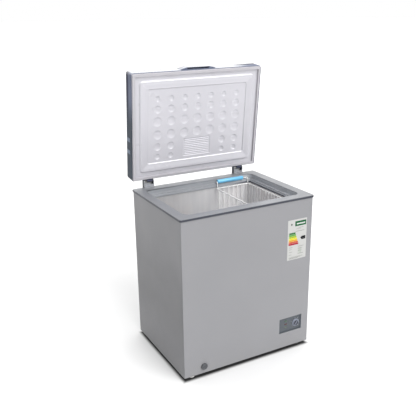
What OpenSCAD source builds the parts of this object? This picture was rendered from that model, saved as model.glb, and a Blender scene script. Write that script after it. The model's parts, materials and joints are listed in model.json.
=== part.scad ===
// Free-standing chest freezer with a top lid, drawn with the lid open.
// Millimetres. X runs to the right, Y to the back, Z up. The origin is on the floor, under the
// middle of the whole outline with the lid open. The modules are drawn from the middle of the
// cabinet's footprint, and placed() moves them.

/* [Cabinet] */
// Width of the steel cabinet
cabinet_w = 710; // [700:1:730]
// Depth of the steel cabinet, front to back
cabinet_d = 532; // [530:1:545]
// Height of the rim above the cabinet's bottom edge
rim_h = 787; // [770:1:820]
// Height of the feet
foot_h = 18; // [16:1:22]
// Thickness of the foam under the storage floor
floor_foam = 50; // [46:1:60]
// Height of the hump over the compressor, above the cabinet's bottom edge
hump_h = 300; // [295:1:315]
// Width of the storage floor to the left of the hump
floor_w = 415; // [405:1:416]

/* [Lid] */
// Angle that the lid stands open, from closed
lid_open = 84; // [60:1:86]
// Width of the lid
lid_w = 716; // [708:1:716]
// Depth of the lid, front to back
lid_d = 535; // [530:1:540]
// Thickness of the lid without its gasket
lid_t = 74; // [66:1:80]
// Height that the gasket stands out of the lid's inner face
gasket_h = 10; // [9:0.5:10]

/* [Basket] */
// Length of the basket, front to back
basket_l = 402; // [390:1:403]
// Width of the basket
basket_w = 205; // [190:1:206]
// Depth of the basket
basket_h = 200; // [160:1:220]
// Place of the basket's centre, right of the cabinet's centre
basket_x = 185; // [0:1:185]

/* [Controls] */
// Width of the control panel
panel_w = 135; // [130:1:138]
// Height of the control panel
panel_h = 80; // [76:1:84]
// Diameter of the thermostat knob
knob_d = 42; // [36:1:44]

/* [Hidden] */

$fn = 48;
hx = cabinet_w / 2;
hy = cabinet_d / 2;
z_base = foot_h;
z_rim = foot_h + rim_h;
sheet = 1;       // thickness of the sheet metal
origin_y = 31; // the origin's distance behind the middle of the cabinet's footprint
fit = 0.05;      // radial clearance of a running fit
gap = 0.3;       // clearance between parts that only pass each other

// Top frame: distances inward from the cabinet's face, and drops below the rim
frame_out = -4;
flange_in = 46;
ledge_in = 58;
liner_in = 60;
step_in = 63;
flange_t = 2.5;
frame_t = 3;
trim_drop = 12;
ledge_drop = 24;
step_drop = 33;
lip_drop = 42;

// Storage cavity and the machine room under its hump
floor_z = z_base + sheet + floor_foam + sheet;
liner_top = z_rim - step_drop - frame_t;
hump_x = -hx + liner_in + floor_w;
hump_z = z_base + hump_h;
room_x = hump_x + 50;
room_z = hump_z - 50;
room_back = hy - 2 * sheet;
rear_x = [196, 324];
rear_z = [z_base + 22, z_base + 230];
rear_margin = 10;
rear_screws = [[190, z_base + 40], [190, z_base + 126], [190, z_base + 212],
               [330, z_base + 40], [330, z_base + 126], [330, z_base + 212]];
vent_y = [-40, 150];
vent_z = [z_base + 50, z_base + 210];

// Compressor
comp_x = 262;
comp_y = 95;
comp_r = 74;
comp_h = 160;
comp_round = 25;
comp_z = z_base + 16;
plate_t = 3;
mount_dx = 58;
mount_dy = 62;

// Refrigerant tubes
evap_r = 4;
evap_n = 7;
evap_pitch = 58;
evap_z = hump_z + 40;
evap_in = liner_in - sheet - evap_r - gap;
evap_top = evap_z + (evap_n - 1) * evap_pitch;
cond_r = 3;
cond_n = 8;
cond_pitch = 58;
cond_x = -hx + sheet + gap + cond_r;
cond_y = cond_pitch * (cond_n - 1) / 2;
cond_base = z_base + sheet + 6;
cond_low = z_base + 44;
cond_high = z_rim - 75;
cond_end = [room_x + 14, cond_base + 60];
groove = 0.5;    // room round a tube in its groove
seam = 0.2;      // between two slabs of foam
pipe_y = 240;    // the tubes' way up through the rear wall
cap_r = 1.2;
cap_x = room_x + 14;
suction_x = 214;
drier_z = [cond_end[1] + gap, cond_end[1] + 112];
drier_r = 9;

// Front face: control panel, drain and label
panel_x = 246;
panel_z = z_base + 121;
panel_sink = 6;
knob_x = panel_x + 34;
knob_z = panel_z - 2;
shaft_r = 3;
lamp_x = panel_x - 25;
lamp_pitch = 17;
lamp_size = [14, 8];
drain_x = -251;
drain_z = z_base + 36;
drain_y = -150;
drain_r = 8;
drain_bore = drain_r + fit;
drain_out = 10.5;
label_x = [212, 323];
label_z = [z_base + 474, z_base + 679];

// Feet
foot_x = 305;
foot_y = 236;
foot_r = 17;
foot_hole = 2.6;

// Hinges: the pins' axis, behind the cabinet and above the rim
pin_y = hy + 16;
pin_z = z_rim + 27;
pin_r = 3;
hinge_x = 264;
cheek_x = 23;
cheek_t = 2;
knuckle_r = 7;
bracket_low = z_rim - 165;
leaf_screws = [[-14, 9.5], [14, 9.5], [-14, 26], [14, 26]];
bracket_screws = [[-14, z_rim - 145], [14, z_rim - 145], [-14, z_rim - 70], [14, z_rim - 70]];
lid_low = pin_z - 16.6;
lid_back = pin_y - 14.3;
lid_front = lid_back - lid_d;
lid_mid = lid_back - lid_d / 2;

// Lid: distances inward from its edge, and depths from its inner face. Each row of dimples has its
// distance from the lid's back edge, its radius, and its first column out from the middle.
lid_edge_r = 14;
lid_corner_r = 10;
band_t = 3;
skin_in = 20;
ridge_out = 40;
ridge_in = 70;
ridge_h = 8;
field_sink = 3;
liner_t = 2;
dimple_depth = 5;
dimple_pitch = 73.6;
dimple_rows = [[403.5, 14, 0], [352.5, 19, 0], [291.5, 23, 0], [225, 23, 0],
               [163.5, 19, 2], [112.5, 14, 2]];
rib_x = 77.5;
rib_v = [98, 190];
rib_n = 8;
gasket_in = 4;
gasket_w = 14;
handle_z = [lid_low + 12, lid_low + 52];
handle_out = 10;

// Basket
wire_r = 2.5;
thin_r = 1.5;
ring_z = z_rim - 47;
ring_y = basket_l / 2 - wire_r;
ring_x = basket_w / 2 - wire_r;
ring_bend = 6;
low_z = ring_z - basket_h;
grip_r = 9.5;
grip_l = 156;
grip_y = hy - 56.5;
grip_z = z_rim - ledge_drop + grip_r + gap;
wall_wire = wire_r + thin_r + 0.02;
long_n = 15;
short_n = 7;

// ---------- helpers ----------

// A box from its lowest to its highest corner
module span(lo, hi) {
    translate(lo) cube(hi - lo);
}

// A rectangle with round corners, centred
module round_rect(w, d, r) {
    square([w - 2 * r, d], center = true);
    square([w, d - 2 * r], center = true);
    for (sx = [-1, 1], sy = [-1, 1])
        translate([sx * (w / 2 - r), sy * (d / 2 - r)]) circle(r);
}

// The cabinet's plan, moved inward by u: sharp corners outside, rounder ones at the cavity
module plan(u) {
    round_rect(cabinet_w - 2 * u, cabinet_d - 2 * u, u < 4 ? 4 - u : 75 - u);
}

// A wall that follows the plan between two inward distances
module plan_ring(u_out, u_in, z0, z1) {
    translate([0, 0, z0]) linear_extrude(z1 - z0) difference() {
        plan(u_out);
        plan(u_in);
    }
}

// A round bar between two points
module rod(a, b, r) {
    d = b - a;
    translate(a) rotate([0, acos(d[2] / norm(d)), atan2(d[1], d[0])])
        cylinder(h = norm(d), r = r);
}

// A quarter bend round corner c, arriving along d1 and leaving along d2
module elbow(c, d1, d2, bend, r) {
    o = c - bend * d1 + bend * d2;
    n = cross(-d2, d1);
    multmatrix([[-d2[0], d1[0], n[0], o[0]],
                [-d2[1], d1[1], n[1], o[1]],
                [-d2[2], d1[2], n[2], o[2]],
                [0, 0, 0, 1]])
        rotate_extrude(angle = 90) translate([bend, 0]) circle(r);
}

// A tube along points that turn through right angles
module tube_path(pts, r, bend, closed = false) {
    n = len(pts);
    for (i = [0 : closed ? n - 1 : n - 2]) {
        a = pts[i];
        b = pts[(i + 1) % n];
        c = pts[(i + 2) % n];
        d = (b - a) / norm(b - a);
        turns = closed || i < n - 2;
        rod(a + ((i > 0 || closed) ? bend : 0) * d, b - (turns ? bend : 0) * d, r);
        if (turns) elbow(b, d, (c - b) / norm(c - b), bend, r);
    }
}

// A flat shape in Y and Z, thickened along X from x0
module side_plate(x0, t) {
    translate([x0, 0, 0]) rotate([90, 0, 90]) linear_extrude(t) children();
}

// Turns what follows to point along +Y, at a place on a face at y
module face_back(x, y, z) {
    translate([x, y, z]) rotate([-90, 0, 0]) children();
}

// A pan-head screw: head above z = 0, shank below
module screw(head_r, r, len) {
    cylinder(h = 0.5 * head_r, r = head_r);
    translate([0, 0, -len]) cylinder(h = len, r = r);
}

module at_hinges() {
    for (s = [-1, 1]) translate([s * hinge_x, 0, 0]) children();
}

module at_feet() {
    for (sx = [-1, 1], sy = [-1, 1]) translate([sx * foot_x, sy * foot_y, 0]) children();
}

module at_mounts() {
    for (sx = [-1, 1], sy = [-1, 1])
        translate([comp_x + sx * mount_dx, comp_y + sy * mount_dy, 0]) children();
}

// Moves a piece from the cabinet's own middle to its place about the origin
module placed() {
    translate([0, -origin_y, 0]) children();
}

// Swings the closed lid's parts to the open lid's place
module lid_place() {
    translate([0, pin_y, pin_z]) rotate([-lid_open, 0, 0]) translate([0, -pin_y, -pin_z])
        children();
}

// ---------- cabinet shell ----------

module outer_wrap() {
    color("silver") difference() {
        plan_ring(0, sheet, z_base, z_rim - flange_t);
        // the back stays open between two return flanges
        span([-hx + 16, hy - 5, z_base - 1], [hx - 16, hy + 5, z_rim]);
        span([panel_x - panel_w / 2, -hy - 5, panel_z - panel_h / 2],
             [panel_x + panel_w / 2, -hy + 5, panel_z + panel_h / 2]);
        face_back(drain_x, -hy - 5, drain_z) cylinder(h = 10, r = 14);
        span([hx - 5, vent_y[0], vent_z[0]], [hx + 5, vent_y[1], vent_z[1]]);
    }
}

module back_panel() {
    color("gainsboro") difference() {
        span([-hx + 4.5, room_back, z_base + sheet], [hx - 4.5, hy - sheet, z_rim - flange_t]);
        span([rear_x[0], hy - 5, rear_z[0]], [rear_x[1], hy + 5, rear_z[1]]);
        for (p = rear_screws) face_back(p[0], hy - 5, p[1]) cylinder(h = 10, r = 1.7);
        at_hinges() for (p = bracket_screws)
            face_back(p[0], hy - 5, p[1]) cylinder(h = 10, r = 1.7);
    }
}

// The cabinet's inside in plan, in front of the back panel
module inside_plan() {
    intersection() {
        plan(sheet);
        translate([0, -sheet]) square([cabinet_w, cabinet_d - 2 * sheet], center = true);
    }
}

module base_pan() {
    color("darkgray") difference() {
        translate([0, 0, z_base]) linear_extrude(sheet) inside_plan();
        at_feet() cylinder(h = 100, r = foot_hole, center = true);
        // air slots under the machine room
        for (i = [0 : 5])
            span([room_x + 20 + i * 22, -190, z_base - 1], [room_x + 28 + i * 22, -70, z_base + 5]);
    }
}

// The storage cavity, grown by g into the walls
module cavity(g) {
    difference() {
        translate([0, 0, floor_z - g]) linear_extrude(z_rim - floor_z) plan(liner_in - g);
        span([hump_x + g, -hy, 0], [hx, hy, hump_z - g]);
    }
}

// The foam is poured as slabs, one to a wall, that part along thin seams
module cabinet_foam() {
    color("khaki") difference() {
        translate([0, 0, z_base + sheet]) linear_extrude(z_rim - flange_t - z_base - sheet)
            inside_plan();
        foam_cavity();
        foam_seams();
        translate([0, 0, liner_top]) linear_extrude(50) plan(55);
        translate([0, 0, z_rim - ledge_drop - frame_t]) linear_extrude(50) plan(43);
        span([room_x, -hy, 0], [hx, hy, room_z]);
        evaporator_room();
        condenser_room();
        pipe_room();
        fastener_room();
    }
}

// The cavity as the foam leaves it: square in the corners behind the liner's round ones
module foam_cavity() {
    x = hx - liner_in + sheet;
    y = hy - liner_in + sheet;
    difference() {
        span([-x, -y, floor_z - sheet], [x, y, z_rim]);
        span([hump_x + sheet, -hy, 0], [hx, hy, hump_z - sheet]);
    }
}

module foam_seams() {
    x = hx - liner_in + sheet;
    y = hy - liner_in + sheet;
    for (s = [-1, 1]) {
        span([-hx, s * (y + seam / 2) - seam / 2, 0], [hx, s * (y + seam / 2) + seam / 2, z_rim]);
        span([s * (x + seam / 2) - seam / 2, -y, 0], [s * (x + seam / 2) + seam / 2, y, z_rim]);
    }
    span([hump_x + sheet - seam, -y, 0], [hump_x + sheet, y, floor_z]);
    span([hump_x, -y, room_z - seam], [room_x + 1, y, room_z]);
    for (s = [-1, 1])
        span([-hx, s * (y + 30) - 30 - seam, room_z - seam],
             [hx, s * (y + 30) + 30 + seam, room_z]);
}

module evaporator_room() {
    half = evap_r + groove;
    for (i = [0 : evap_n - 1]) {
        z = evap_z + i * evap_pitch;
        plan_ring(evap_in - half, liner_in - groove, z - half, z + half);
    }
    span([-hx + evap_in - half, hy - 95, evap_z], [-hx + evap_in + half, hy - 85, evap_top]);
}

module condenser_room() {
    half = cond_r + groove;
    turn = half + 3.5; // the inner side of a bend needs more room
    for (i = [0 : cond_n - 1]) {
        y = i * cond_pitch - cond_y;
        low = (i == 0 || i == cond_n - 1) ? cond_base : cond_low;
        span([-hx - 1, y - half, low - half], [cond_x + half, y + half, cond_high + half]);
    }
    for (i = [0 : cond_n - 2]) {
        y = i * cond_pitch - cond_y;
        z = i % 2 == 0 ? cond_high : cond_low;
        span([-hx - 1, y, z - turn], [cond_x + half, y + cond_pitch, z + turn]);
    }
    for (s = [-1, 1])
        span([cond_x, s * cond_y - half, cond_base - half],
             [hx, s * cond_y + half, cond_base + turn]);
}

// Ways through the foam for the capillary, suction, sensing and drain tubes
module pipe_room() {
    span([cap_x - 3, pipe_y - 3, room_z - 1], [cap_x + 3, pipe_y + 3, evap_z + 3]);
    span([cap_x - 3, hy - evap_in, evap_z - 3], [cap_x + 3, pipe_y + 3, evap_z + 3]);
    span([suction_x - 5, pipe_y - 5, room_z - 1], [suction_x + 5, pipe_y + 5, evap_top + 5]);
    span([suction_x - 5, hy - evap_in, evap_top - 5], [suction_x + 5, pipe_y + 5, evap_top + 5]);
    span([knob_x - 4, -154, room_z - 1], [knob_x + 4, -146, room_z + 36]);
    span([knob_x - 90, -154, room_z + 28], [knob_x + 4, -146, room_z + 36]);
    span([drain_x - 11, -hy, drain_z - 11], [drain_x + 11, drain_y + 11, floor_z - sheet]);
}

module fastener_room() {
    at_hinges() for (p = bracket_screws) face_back(p[0], hy - 14, p[1]) cylinder(h = 20, r = 2.2);
    at_feet() cylinder(h = 90, r = 3, center = true);
}

module inner_liner() {
    color("lightgray") difference() {
        cavity(sheet);
        cavity(0);
        translate([0, 0, liner_top]) linear_extrude(100) plan(10);
        translate([drain_x, drain_y, floor_z]) cylinder(h = 10, r = drain_bore, center = true);
    }
}

module top_frame() {
    color("slategray") {
        plan_ring(frame_out, flange_in, z_rim - flange_t, z_rim);
        plan_ring(43, flange_in, z_rim - ledge_drop - frame_t, z_rim - 1);
        plan_ring(43, ledge_in, z_rim - ledge_drop - frame_t, z_rim - ledge_drop);
        plan_ring(55, ledge_in, liner_top, z_rim - ledge_drop - 1);
        plan_ring(55, step_in, liner_top, z_rim - step_drop);
        plan_ring(liner_in, step_in, z_rim - lip_drop, z_rim - step_drop - 1);
    }
}

module frame_edge_trim() {
    color("dimgray") plan_ring(frame_out, 0, z_rim - trim_drop, z_rim - flange_t);
}

module side_vent_grille() {
    color("gray") difference() {
        union() {
            span([hx, vent_y[0] - 6, vent_z[0] - 6], [hx + 2, vent_y[1] + 6, vent_z[1] + 6]);
            span([hx - 4, vent_y[0] + gap, vent_z[0] + gap],
                 [hx + 1, vent_y[1] - gap, vent_z[1] - gap]);
        }
        for (i = [0 : 11])
            span([hx - 9, vent_y[0] + 8, vent_z[0] + 9 + i * 12],
                 [hx + 9, vent_y[1] - 8, vent_z[0] + 16 + i * 12]);
    }
}

// Steel cover over the machine room's opening, with air slots
module rear_cover() {
    color("lightgray") difference() {
        span([rear_x[0] - rear_margin, hy - sheet, rear_z[0] - rear_margin],
             [rear_x[1] + rear_margin, hy + 0.2, rear_z[1] + rear_margin]);
        for (p = rear_screws) face_back(p[0], hy - 5, p[1]) cylinder(h = 10, r = 1.7);
        for (i = [0 : 8])
            span([rear_x[0] + 14, hy - 5, rear_z[0] + 60 + i * 15],
                 [rear_x[1] - 14, hy + 5, rear_z[0] + 65 + i * 15]);
        face_back(rear_x[0] + 24, hy - 5, rear_z[0] + 24) cylinder(h = 10, r = 8);
    }
}

module rear_cover_screws() {
    color("silver") for (p = rear_screws)
        face_back(p[0], hy + 0.2, p[1]) screw(3.5, 1.7, 10);
}

// Grommet that the mains lead would pass through
module cord_gland() {
    color("black") face_back(rear_x[0] + 24, hy + 0.2, rear_z[0] + 24) difference() {
        union() {
            cylinder(h = 2.5, r = 11);
            translate([0, 0, -3]) cylinder(h = 4, r = 8);
            translate([0, 0, -4.2]) cylinder(h = 3, r = 10);
        }
        cylinder(h = 30, r = 4, center = true);
    }
}

module energy_label() {
    color("white") span([label_x[0], -hy - 0.3, label_z[0]], [label_x[1], -hy, label_z[1]]);
}

module rating_plate() {
    color("whitesmoke") span([-80, hy - sheet, z_base + 540], [20, hy - sheet + 0.3, z_base + 600]);
}

module feet() {
    color("ivory") at_feet() difference() {
        union() {
            cylinder(h = 4, r = foot_r - 2);
            translate([0, 0, 3]) cylinder(h = foot_h - 3, r = foot_r);
        }
        cylinder(h = 100, r = foot_hole, center = true);
        translate([0, 0, -1]) cylinder(h = 9, r = 6);
    }
}

module foot_screws() {
    color("silver") at_feet() translate([0, 0, 8]) rotate([180, 0, 0]) screw(5, 2.5, 26);
}

// ---------- refrigerant circuit ----------

module evaporator_coil() {
    x = hx - evap_in;
    y = hy - evap_in;
    color("orange") {
        for (i = [0 : evap_n - 1]) {
            z = evap_z + i * evap_pitch;
            tube_path([[-x, -y, z], [x, -y, z], [x, y, z], [-x, y, z]], evap_r, 75 - evap_in, true);
        }
        rod([-x, hy - 90, evap_z], [-x, hy - 90, evap_top], 3);
    }
}

// Hot-gas tube: along the base to the left wall, up and down it, and back
function condenser_run(i) =
    let (y = i * cond_pitch - cond_y,
         low = (i == 0 || i == cond_n - 1) ? cond_base : cond_low)
    i % 2 == 0 ? [[cond_x, y, low], [cond_x, y, cond_high]]
               : [[cond_x, y, cond_high], [cond_x, y, low]];

module condenser_coil() {
    path = concat(
        [[cond_end[0], -cond_y, cond_end[1]], [cond_end[0], -cond_y, cond_base]],
        [for (i = [0 : cond_n - 1]) each condenser_run(i)],
        [[cond_end[0], cond_y, cond_base], [cond_end[0], cond_y, cond_end[1]]]);
    color("darkorange") tube_path(path, cond_r, 9);
}

module machine_room_panel() {
    color("gray") difference() {
        union() {
            span([room_x, -262, z_base + sheet], [room_x + sheet, 262, room_z]);
            span([room_x, -262, room_z - sheet], [hx - sheet, 262, room_z]);
        }
        for (s = [-1, 1])
            rod([room_x - 5, s * cond_y, cond_base], [room_x + 5, s * cond_y, cond_base], 4.2);
        translate([cap_x, pipe_y, room_z]) cylinder(h = 10, r = 2.4, center = true);
        translate([suction_x, pipe_y, room_z]) cylinder(h = 10, r = 5, center = true);
        translate([knob_x, -150, room_z]) cylinder(h = 10, r = 2.4, center = true);
    }
}

module compressor_tray() {
    color("darkgray") difference() {
        span([room_x + 3, 5, z_base + sheet], [hx - 3, 190, z_base + 3]);
        at_mounts() cylinder(h = 200, r = 4, center = true);
    }
}

module compressor_grommets() {
    color("black") at_mounts() difference() {
        union() {
            translate([0, 0, z_base + 3]) cylinder(h = comp_z - z_base - 3, r = 12);
            translate([0, 0, comp_z - 1]) cylinder(h = plate_t + 2, r = 8.9);
            translate([0, 0, comp_z + plate_t]) cylinder(h = 3, r = 11);
        }
        cylinder(h = 200, r = 4, center = true);
    }
}

module compressor_bolts() {
    color("silver") at_mounts() {
        translate([0, 0, comp_z + plate_t + 3]) cylinder(h = 4, r = 6.5);
        translate([0, 0, z_base + sheet]) cylinder(h = comp_z + plate_t + 3 - z_base, r = 3.9);
    }
}

module compressor_base_plate() {
    color("black") difference() {
        span([comp_x - 72, comp_y - 76, comp_z], [comp_x + 72, comp_y + 76, comp_z + plate_t]);
        at_mounts() cylinder(h = 200, r = 9, center = true);
    }
}

module compressor_shell() {
    h = comp_h - 2 * comp_round;
    color("black") translate([comp_x, comp_y, comp_z + plate_t]) rotate_extrude() intersection() {
        union() {
            translate([0, comp_round]) square([comp_r, h]);
            square([comp_r - comp_round, comp_h]);
            for (z = [comp_round, comp_round + h])
                translate([comp_r - comp_round, z]) circle(comp_round);
            translate([0, comp_h / 2 - 2]) square([comp_r + 3, 4]);
        }
        square([200, 300]);
    }
}

module start_relay() {
    color("dimgray") span([comp_x - 24, comp_y - comp_r - 14, comp_z + 92],
                          [comp_x + 24, comp_y - comp_r - gap, comp_z + 124]);
}

module relay_cover() {
    back = comp_y - comp_r - gap;
    color("black") difference() {
        span([comp_x - 28, back - 20, comp_z + 88], [comp_x + 28, back, comp_z + 128]);
        span([comp_x - 25, back - 17, comp_z + 91], [comp_x + 25, back + 9, comp_z + 125]);
    }
}

module filter_drier() {
    color("chocolate") translate([cap_x, cond_y, drier_z[0]]) {
        h = drier_z[1] - drier_z[0];
        translate([0, 0, 8]) cylinder(h = h - 16, r = drier_r);
        cylinder(h = 8.5, r = cond_r + 1);
        translate([0, 0, h - 8.5]) cylinder(h = 8.5, r = 2.5);
    }
}

module capillary_tube() {
    color("orange") tube_path([[cap_x, cond_y, drier_z[1] + gap], [cap_x, cond_y, drier_z[1] + 30],
        [cap_x, pipe_y, drier_z[1] + 30], [cap_x, pipe_y, evap_z],
        [cap_x, hy - evap_in + evap_r + gap, evap_z]], cap_r, 6);
}

module suction_tube() {
    color("orange") tube_path([[suction_x, hy - evap_in + evap_r + gap, evap_top],
        [suction_x, pipe_y, evap_top], [suction_x, pipe_y, comp_z + 136],
        [comp_x, pipe_y, comp_z + 136], [comp_x, comp_y + comp_r + gap, comp_z + 136]], 3.5, 10);
}

module discharge_tube() {
    color("orange") tube_path([[comp_x, comp_y - comp_r - gap, comp_z + 60],
        [comp_x, -cond_y, comp_z + 60 ], [cond_end[0], -cond_y, comp_z + 60],
        [cond_end[0], -cond_y, cond_end[1] + gap / 2]], cond_r - 0.2, 7);
}

module terminal_block() {
    color("white") span([room_x + sheet, -70, z_base + 130], [room_x + 24, -20, z_base + 160]);
}

// ---------- controls ----------

// Recessed tray with a flange behind the steel
module control_bezel() {
    w = panel_w / 2 - 0.2;
    h = panel_h / 2 - 0.2;
    floor_y = -hy + panel_sink;
    color("slategray") difference() {
        union() {
            span([panel_x - w, -hy, panel_z - h], [panel_x + w, floor_y + 2, panel_z + h]);
            span([panel_x - w - 5, -hy + sheet, panel_z - h - 5],
                 [panel_x + w + 5, -hy + sheet + 1.5, panel_z + h + 5]);
        }
        span([panel_x - w + 2, -hy - 5, panel_z - h + 2], [panel_x + w - 2, floor_y, panel_z + h - 2]);
        face_back(knob_x, -hy, knob_z) cylinder(h = 20, r = shaft_r + 0.6);
        lamp_places(-hy)
            span([-lamp_size[0] / 2, 0, -lamp_size[1] / 2], [lamp_size[0] / 2, 20, lamp_size[1] / 2]);
    }
}

module lamp_places(y) {
    for (i = [-1 : 1]) translate([lamp_x, y, panel_z + 2 + i * lamp_pitch]) children();
}

module indicator_lenses() {
    w = lamp_size[0] / 2 - 0.1;
    h = lamp_size[1] / 2 - 0.1;
    color("limegreen") lamp_places(-hy + panel_sink) span([-w, -1, -h], [w, 2, h]);
}

module indicator_lamps() {
    color("white") {
        span([lamp_x - 10, -hy + 15, panel_z - 24], [lamp_x + 10, -hy + 17, panel_z + 28]);
        lamp_places(-hy + panel_sink + 2.5) face_back(0, 0, 0) cylinder(h = 7, r = 3);
    }
}

module thermostat_body() {
    floor_y = -hy + panel_sink;
    color("lightgray") difference() {
        span([knob_x - 18, floor_y + 2, knob_z - 20], [knob_x + 18, floor_y + 42, knob_z + 20]);
        face_back(knob_x, floor_y, knob_z) cylinder(h = 22, r = shaft_r + fit);
    }
}

module thermostat_shaft() {
    color("silver") face_back(knob_x, -hy, knob_z) cylinder(h = 27, r = shaft_r);
}

module thermostat_knob() {
    color("gainsboro") face_back(knob_x, -hy + panel_sink - 0.4, knob_z) rotate([180, 0, 0])
        difference() {
            union() {
                cylinder(h = 2.2, r = knob_d / 2);
                cylinder(h = 7.5, r = 0.31 * knob_d);
                translate([-1.6, -0.29 * knob_d, 1]) cube([3.2, 0.58 * knob_d, 8]);
            }
            translate([0, 0, -0.1]) cylinder(h = panel_sink - 0.3, r = shaft_r);
        }
}

module thermostat_sensing_tube() {
    color("orange") {
        tube_path([[knob_x, -hy + panel_sink + 42 + gap, knob_z + 10], [knob_x, -150, knob_z + 10],
            [knob_x, -150, room_z + 32], [knob_x - 20, -150, room_z + 32]], cap_r, 6);
        rod([knob_x - 19.8, -150, room_z + 32], [knob_x - 85, -150, room_z + 32], 3.5);
    }
}

// ---------- drain ----------

module drain_tube() {
    route = [[drain_x, drain_y, floor_z - sheet], [drain_x, drain_y, drain_z],
             [drain_x, -hy + sheet, drain_z]];
    color("white") difference() {
        tube_path(route, drain_out, 11.5);
        tube_path(route, drain_bore, 11.5);
    }
}

module drain_collar() {
    color("gray") face_back(drain_x, -hy, drain_z) difference() {
        union() {
            translate([0, 0, -1.5]) cylinder(h = 1.5, r = 16);
            translate([0, 0, -1]) cylinder(h = 1 + sheet, r = 13.9);
        }
        cylinder(h = 20, r = drain_bore, center = true);
    }
}

module drain_cap() {
    color("dimgray") face_back(drain_x, -hy - 1.7, drain_z) {
        translate([0, 0, -4]) cylinder(h = 4, r = 16.5);
        translate([0, 0, -1]) cylinder(h = 16, r = drain_r);
        translate([-9, -2, -6.5]) cube([18, 4, 3.5]);
    }
}

module drain_plug() {
    color("dimgray") translate([drain_x, drain_y, floor_z + 0.2]) {
        cylinder(h = 4, r = 14);
        translate([0, 0, -3.2]) cylinder(h = 4, r = drain_r);
        translate([-8, -2, 3]) cube([16, 4, 6]);
    }
}

// ---------- hinges ----------

module hinge_brackets() {
    color("silver") at_hinges() difference() {
        union() {
            span([-cheek_x - 1, hy - sheet, bracket_low], [cheek_x + 1, hy + 1, z_rim - 22]);
            span([-cheek_x - 1, hy - sheet, z_rim - 24], [cheek_x + 1, hy + 7, z_rim - 22]);
            span([-cheek_x - 1, hy + 5, z_rim - 24], [cheek_x + 1, hy + 7, pin_z - 16]);
            for (x = [-cheek_x - cheek_t, cheek_x]) side_plate(x, cheek_t) {
                translate([hy - sheet, bracket_low]) square([26, z_rim - 22 - bracket_low]);
                translate([hy + 5, z_rim - 24]) square([22, pin_z - z_rim + 24]);
                translate([pin_y, pin_z]) circle(11);
            }
        }
        rod([-40, pin_y, pin_z], [40, pin_y, pin_z], pin_r);
        for (p = bracket_screws) face_back(p[0], hy - 5, p[1]) cylinder(h = 20, r = 1.7);
    }
}

// Plastic cover over each bracket, open towards the cabinet and at the top
module hinge_covers() {
    side = cheek_x + cheek_t + gap;
    back = pin_y + 12;
    color("darkslategray") at_hinges() {
        for (x = [-side - 2, side]) side_plate(x, 2) {
            translate([hy - sheet, bracket_low - 4])
                square([back + 2 - hy + sheet, z_rim - 24 - bracket_low + 4]);
            translate([hy + 5, z_rim - 25]) square([back + 2 - hy - 5, pin_z - z_rim + 25 + 6]);
            translate([pin_y - 1, pin_z + 1]) square([back + 3 - pin_y, 9]);
        }
        span([-side - 1, back, bracket_low - 4], [side + 1, back + 2, pin_z + 10]);
        span([-side - 1, hy - sheet, bracket_low - 4], [side + 1, back + 1, bracket_low - 2]);
    }
}

module hinge_bracket_screws() {
    color("silver") at_hinges() for (p = bracket_screws)
        face_back(p[0], hy + 1, p[1]) screw(3.6, 1.7, 12);
}

module hinge_pins() {
    end = cheek_x + cheek_t;
    color("silver") at_hinges() rod([-end, pin_y, pin_z], [end, pin_y, pin_z], pin_r);
}

// Torsion spring round each pin, with a leg down behind the bracket's web
module hinge_springs() {
    mean_r = 5.2;
    coil_r = 1.1;
    color("gray") at_hinges() translate([-20.5, pin_y, pin_z]) {
        rotate([0, 90, 0]) rotate_extrude(angle = 270) translate([mean_r, 0]) circle(coil_r);
        rod([0, -mean_r, 0], [0, -mean_r, -36], coil_r);
        for (i = [1 : 4]) translate([i * 2.4, 0, 0]) rotate([0, 90, 0])
            rotate_extrude() translate([mean_r, 0]) circle(coil_r);
    }
}

module hinge_leaves() {
    color("silver") lid_place() at_hinges() translate([0, pin_y, pin_z]) difference() {
        union() {
            span([-21, -14.3, -9], [21, -12, 34]);
            span([-8, -12.5, -5], [21, -3, 5]);
            rod([-8, 0, 0], [21, 0, 0], knuckle_r);
        }
        rod([-30, 0, 0], [30, 0, 0], pin_r + fit);
        for (p = leaf_screws) face_back(p[0], -20, p[1]) cylinder(h = 20, r = 1.7);
    }
}

module hinge_leaf_screws() {
    color("silver") lid_place() at_hinges() for (p = leaf_screws)
        face_back(p[0], pin_y - 12, pin_z + p[1]) screw(3.4, 1.7, 12);
}

// ---------- lid, drawn closed and swung open by lid_place ----------

// A slab edge's outline with its upper corners rounded
module top_round(w, z0, z1, r) {
    translate([-w / 2, z0]) square([w, z1 - r - z0]);
    translate([-w / 2 + r, z0]) square([w - 2 * r, z1 - z0]);
    for (s = [-1, 1]) translate([s * (w / 2 - r), z1 - r]) circle(r);
}

// The lid's outer shape, moved inward by u
module lid_block(u, z0, z1) {
    r = lid_edge_r - u;
    translate([0, lid_mid, lid_low]) intersection() {
        side_plate(-400, 800) top_round(lid_d - 2 * u, z0, z1, r);
        translate([0, 400, 0]) rotate([90, 0, 0]) linear_extrude(800)
            top_round(lid_w - 2 * u, z0, z1, r);
        translate([0, 0, z0]) linear_extrude(z1 - z0)
            round_rect(lid_w - 2 * u, lid_d - 2 * u, lid_corner_r - u);
    }
}

// A slab that follows the lid's edge at inward distance u
module lid_slab(u, z0, z1) {
    translate([0, lid_mid, lid_low + z0]) linear_extrude(z1 - z0)
        round_rect(lid_w - 2 * u, lid_d - 2 * u, lid_corner_r - band_t);
}

module lid_ring(u_out, u_in, z0, z1) {
    difference() {
        lid_slab(u_out, z0, z1);
        lid_slab(u_in, z0 - 1, z1 + 1);
    }
}

module at_handle_screws() {
    for (x = [-80, 80]) translate([x, lid_front, lid_low + 32]) children();
}

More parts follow.
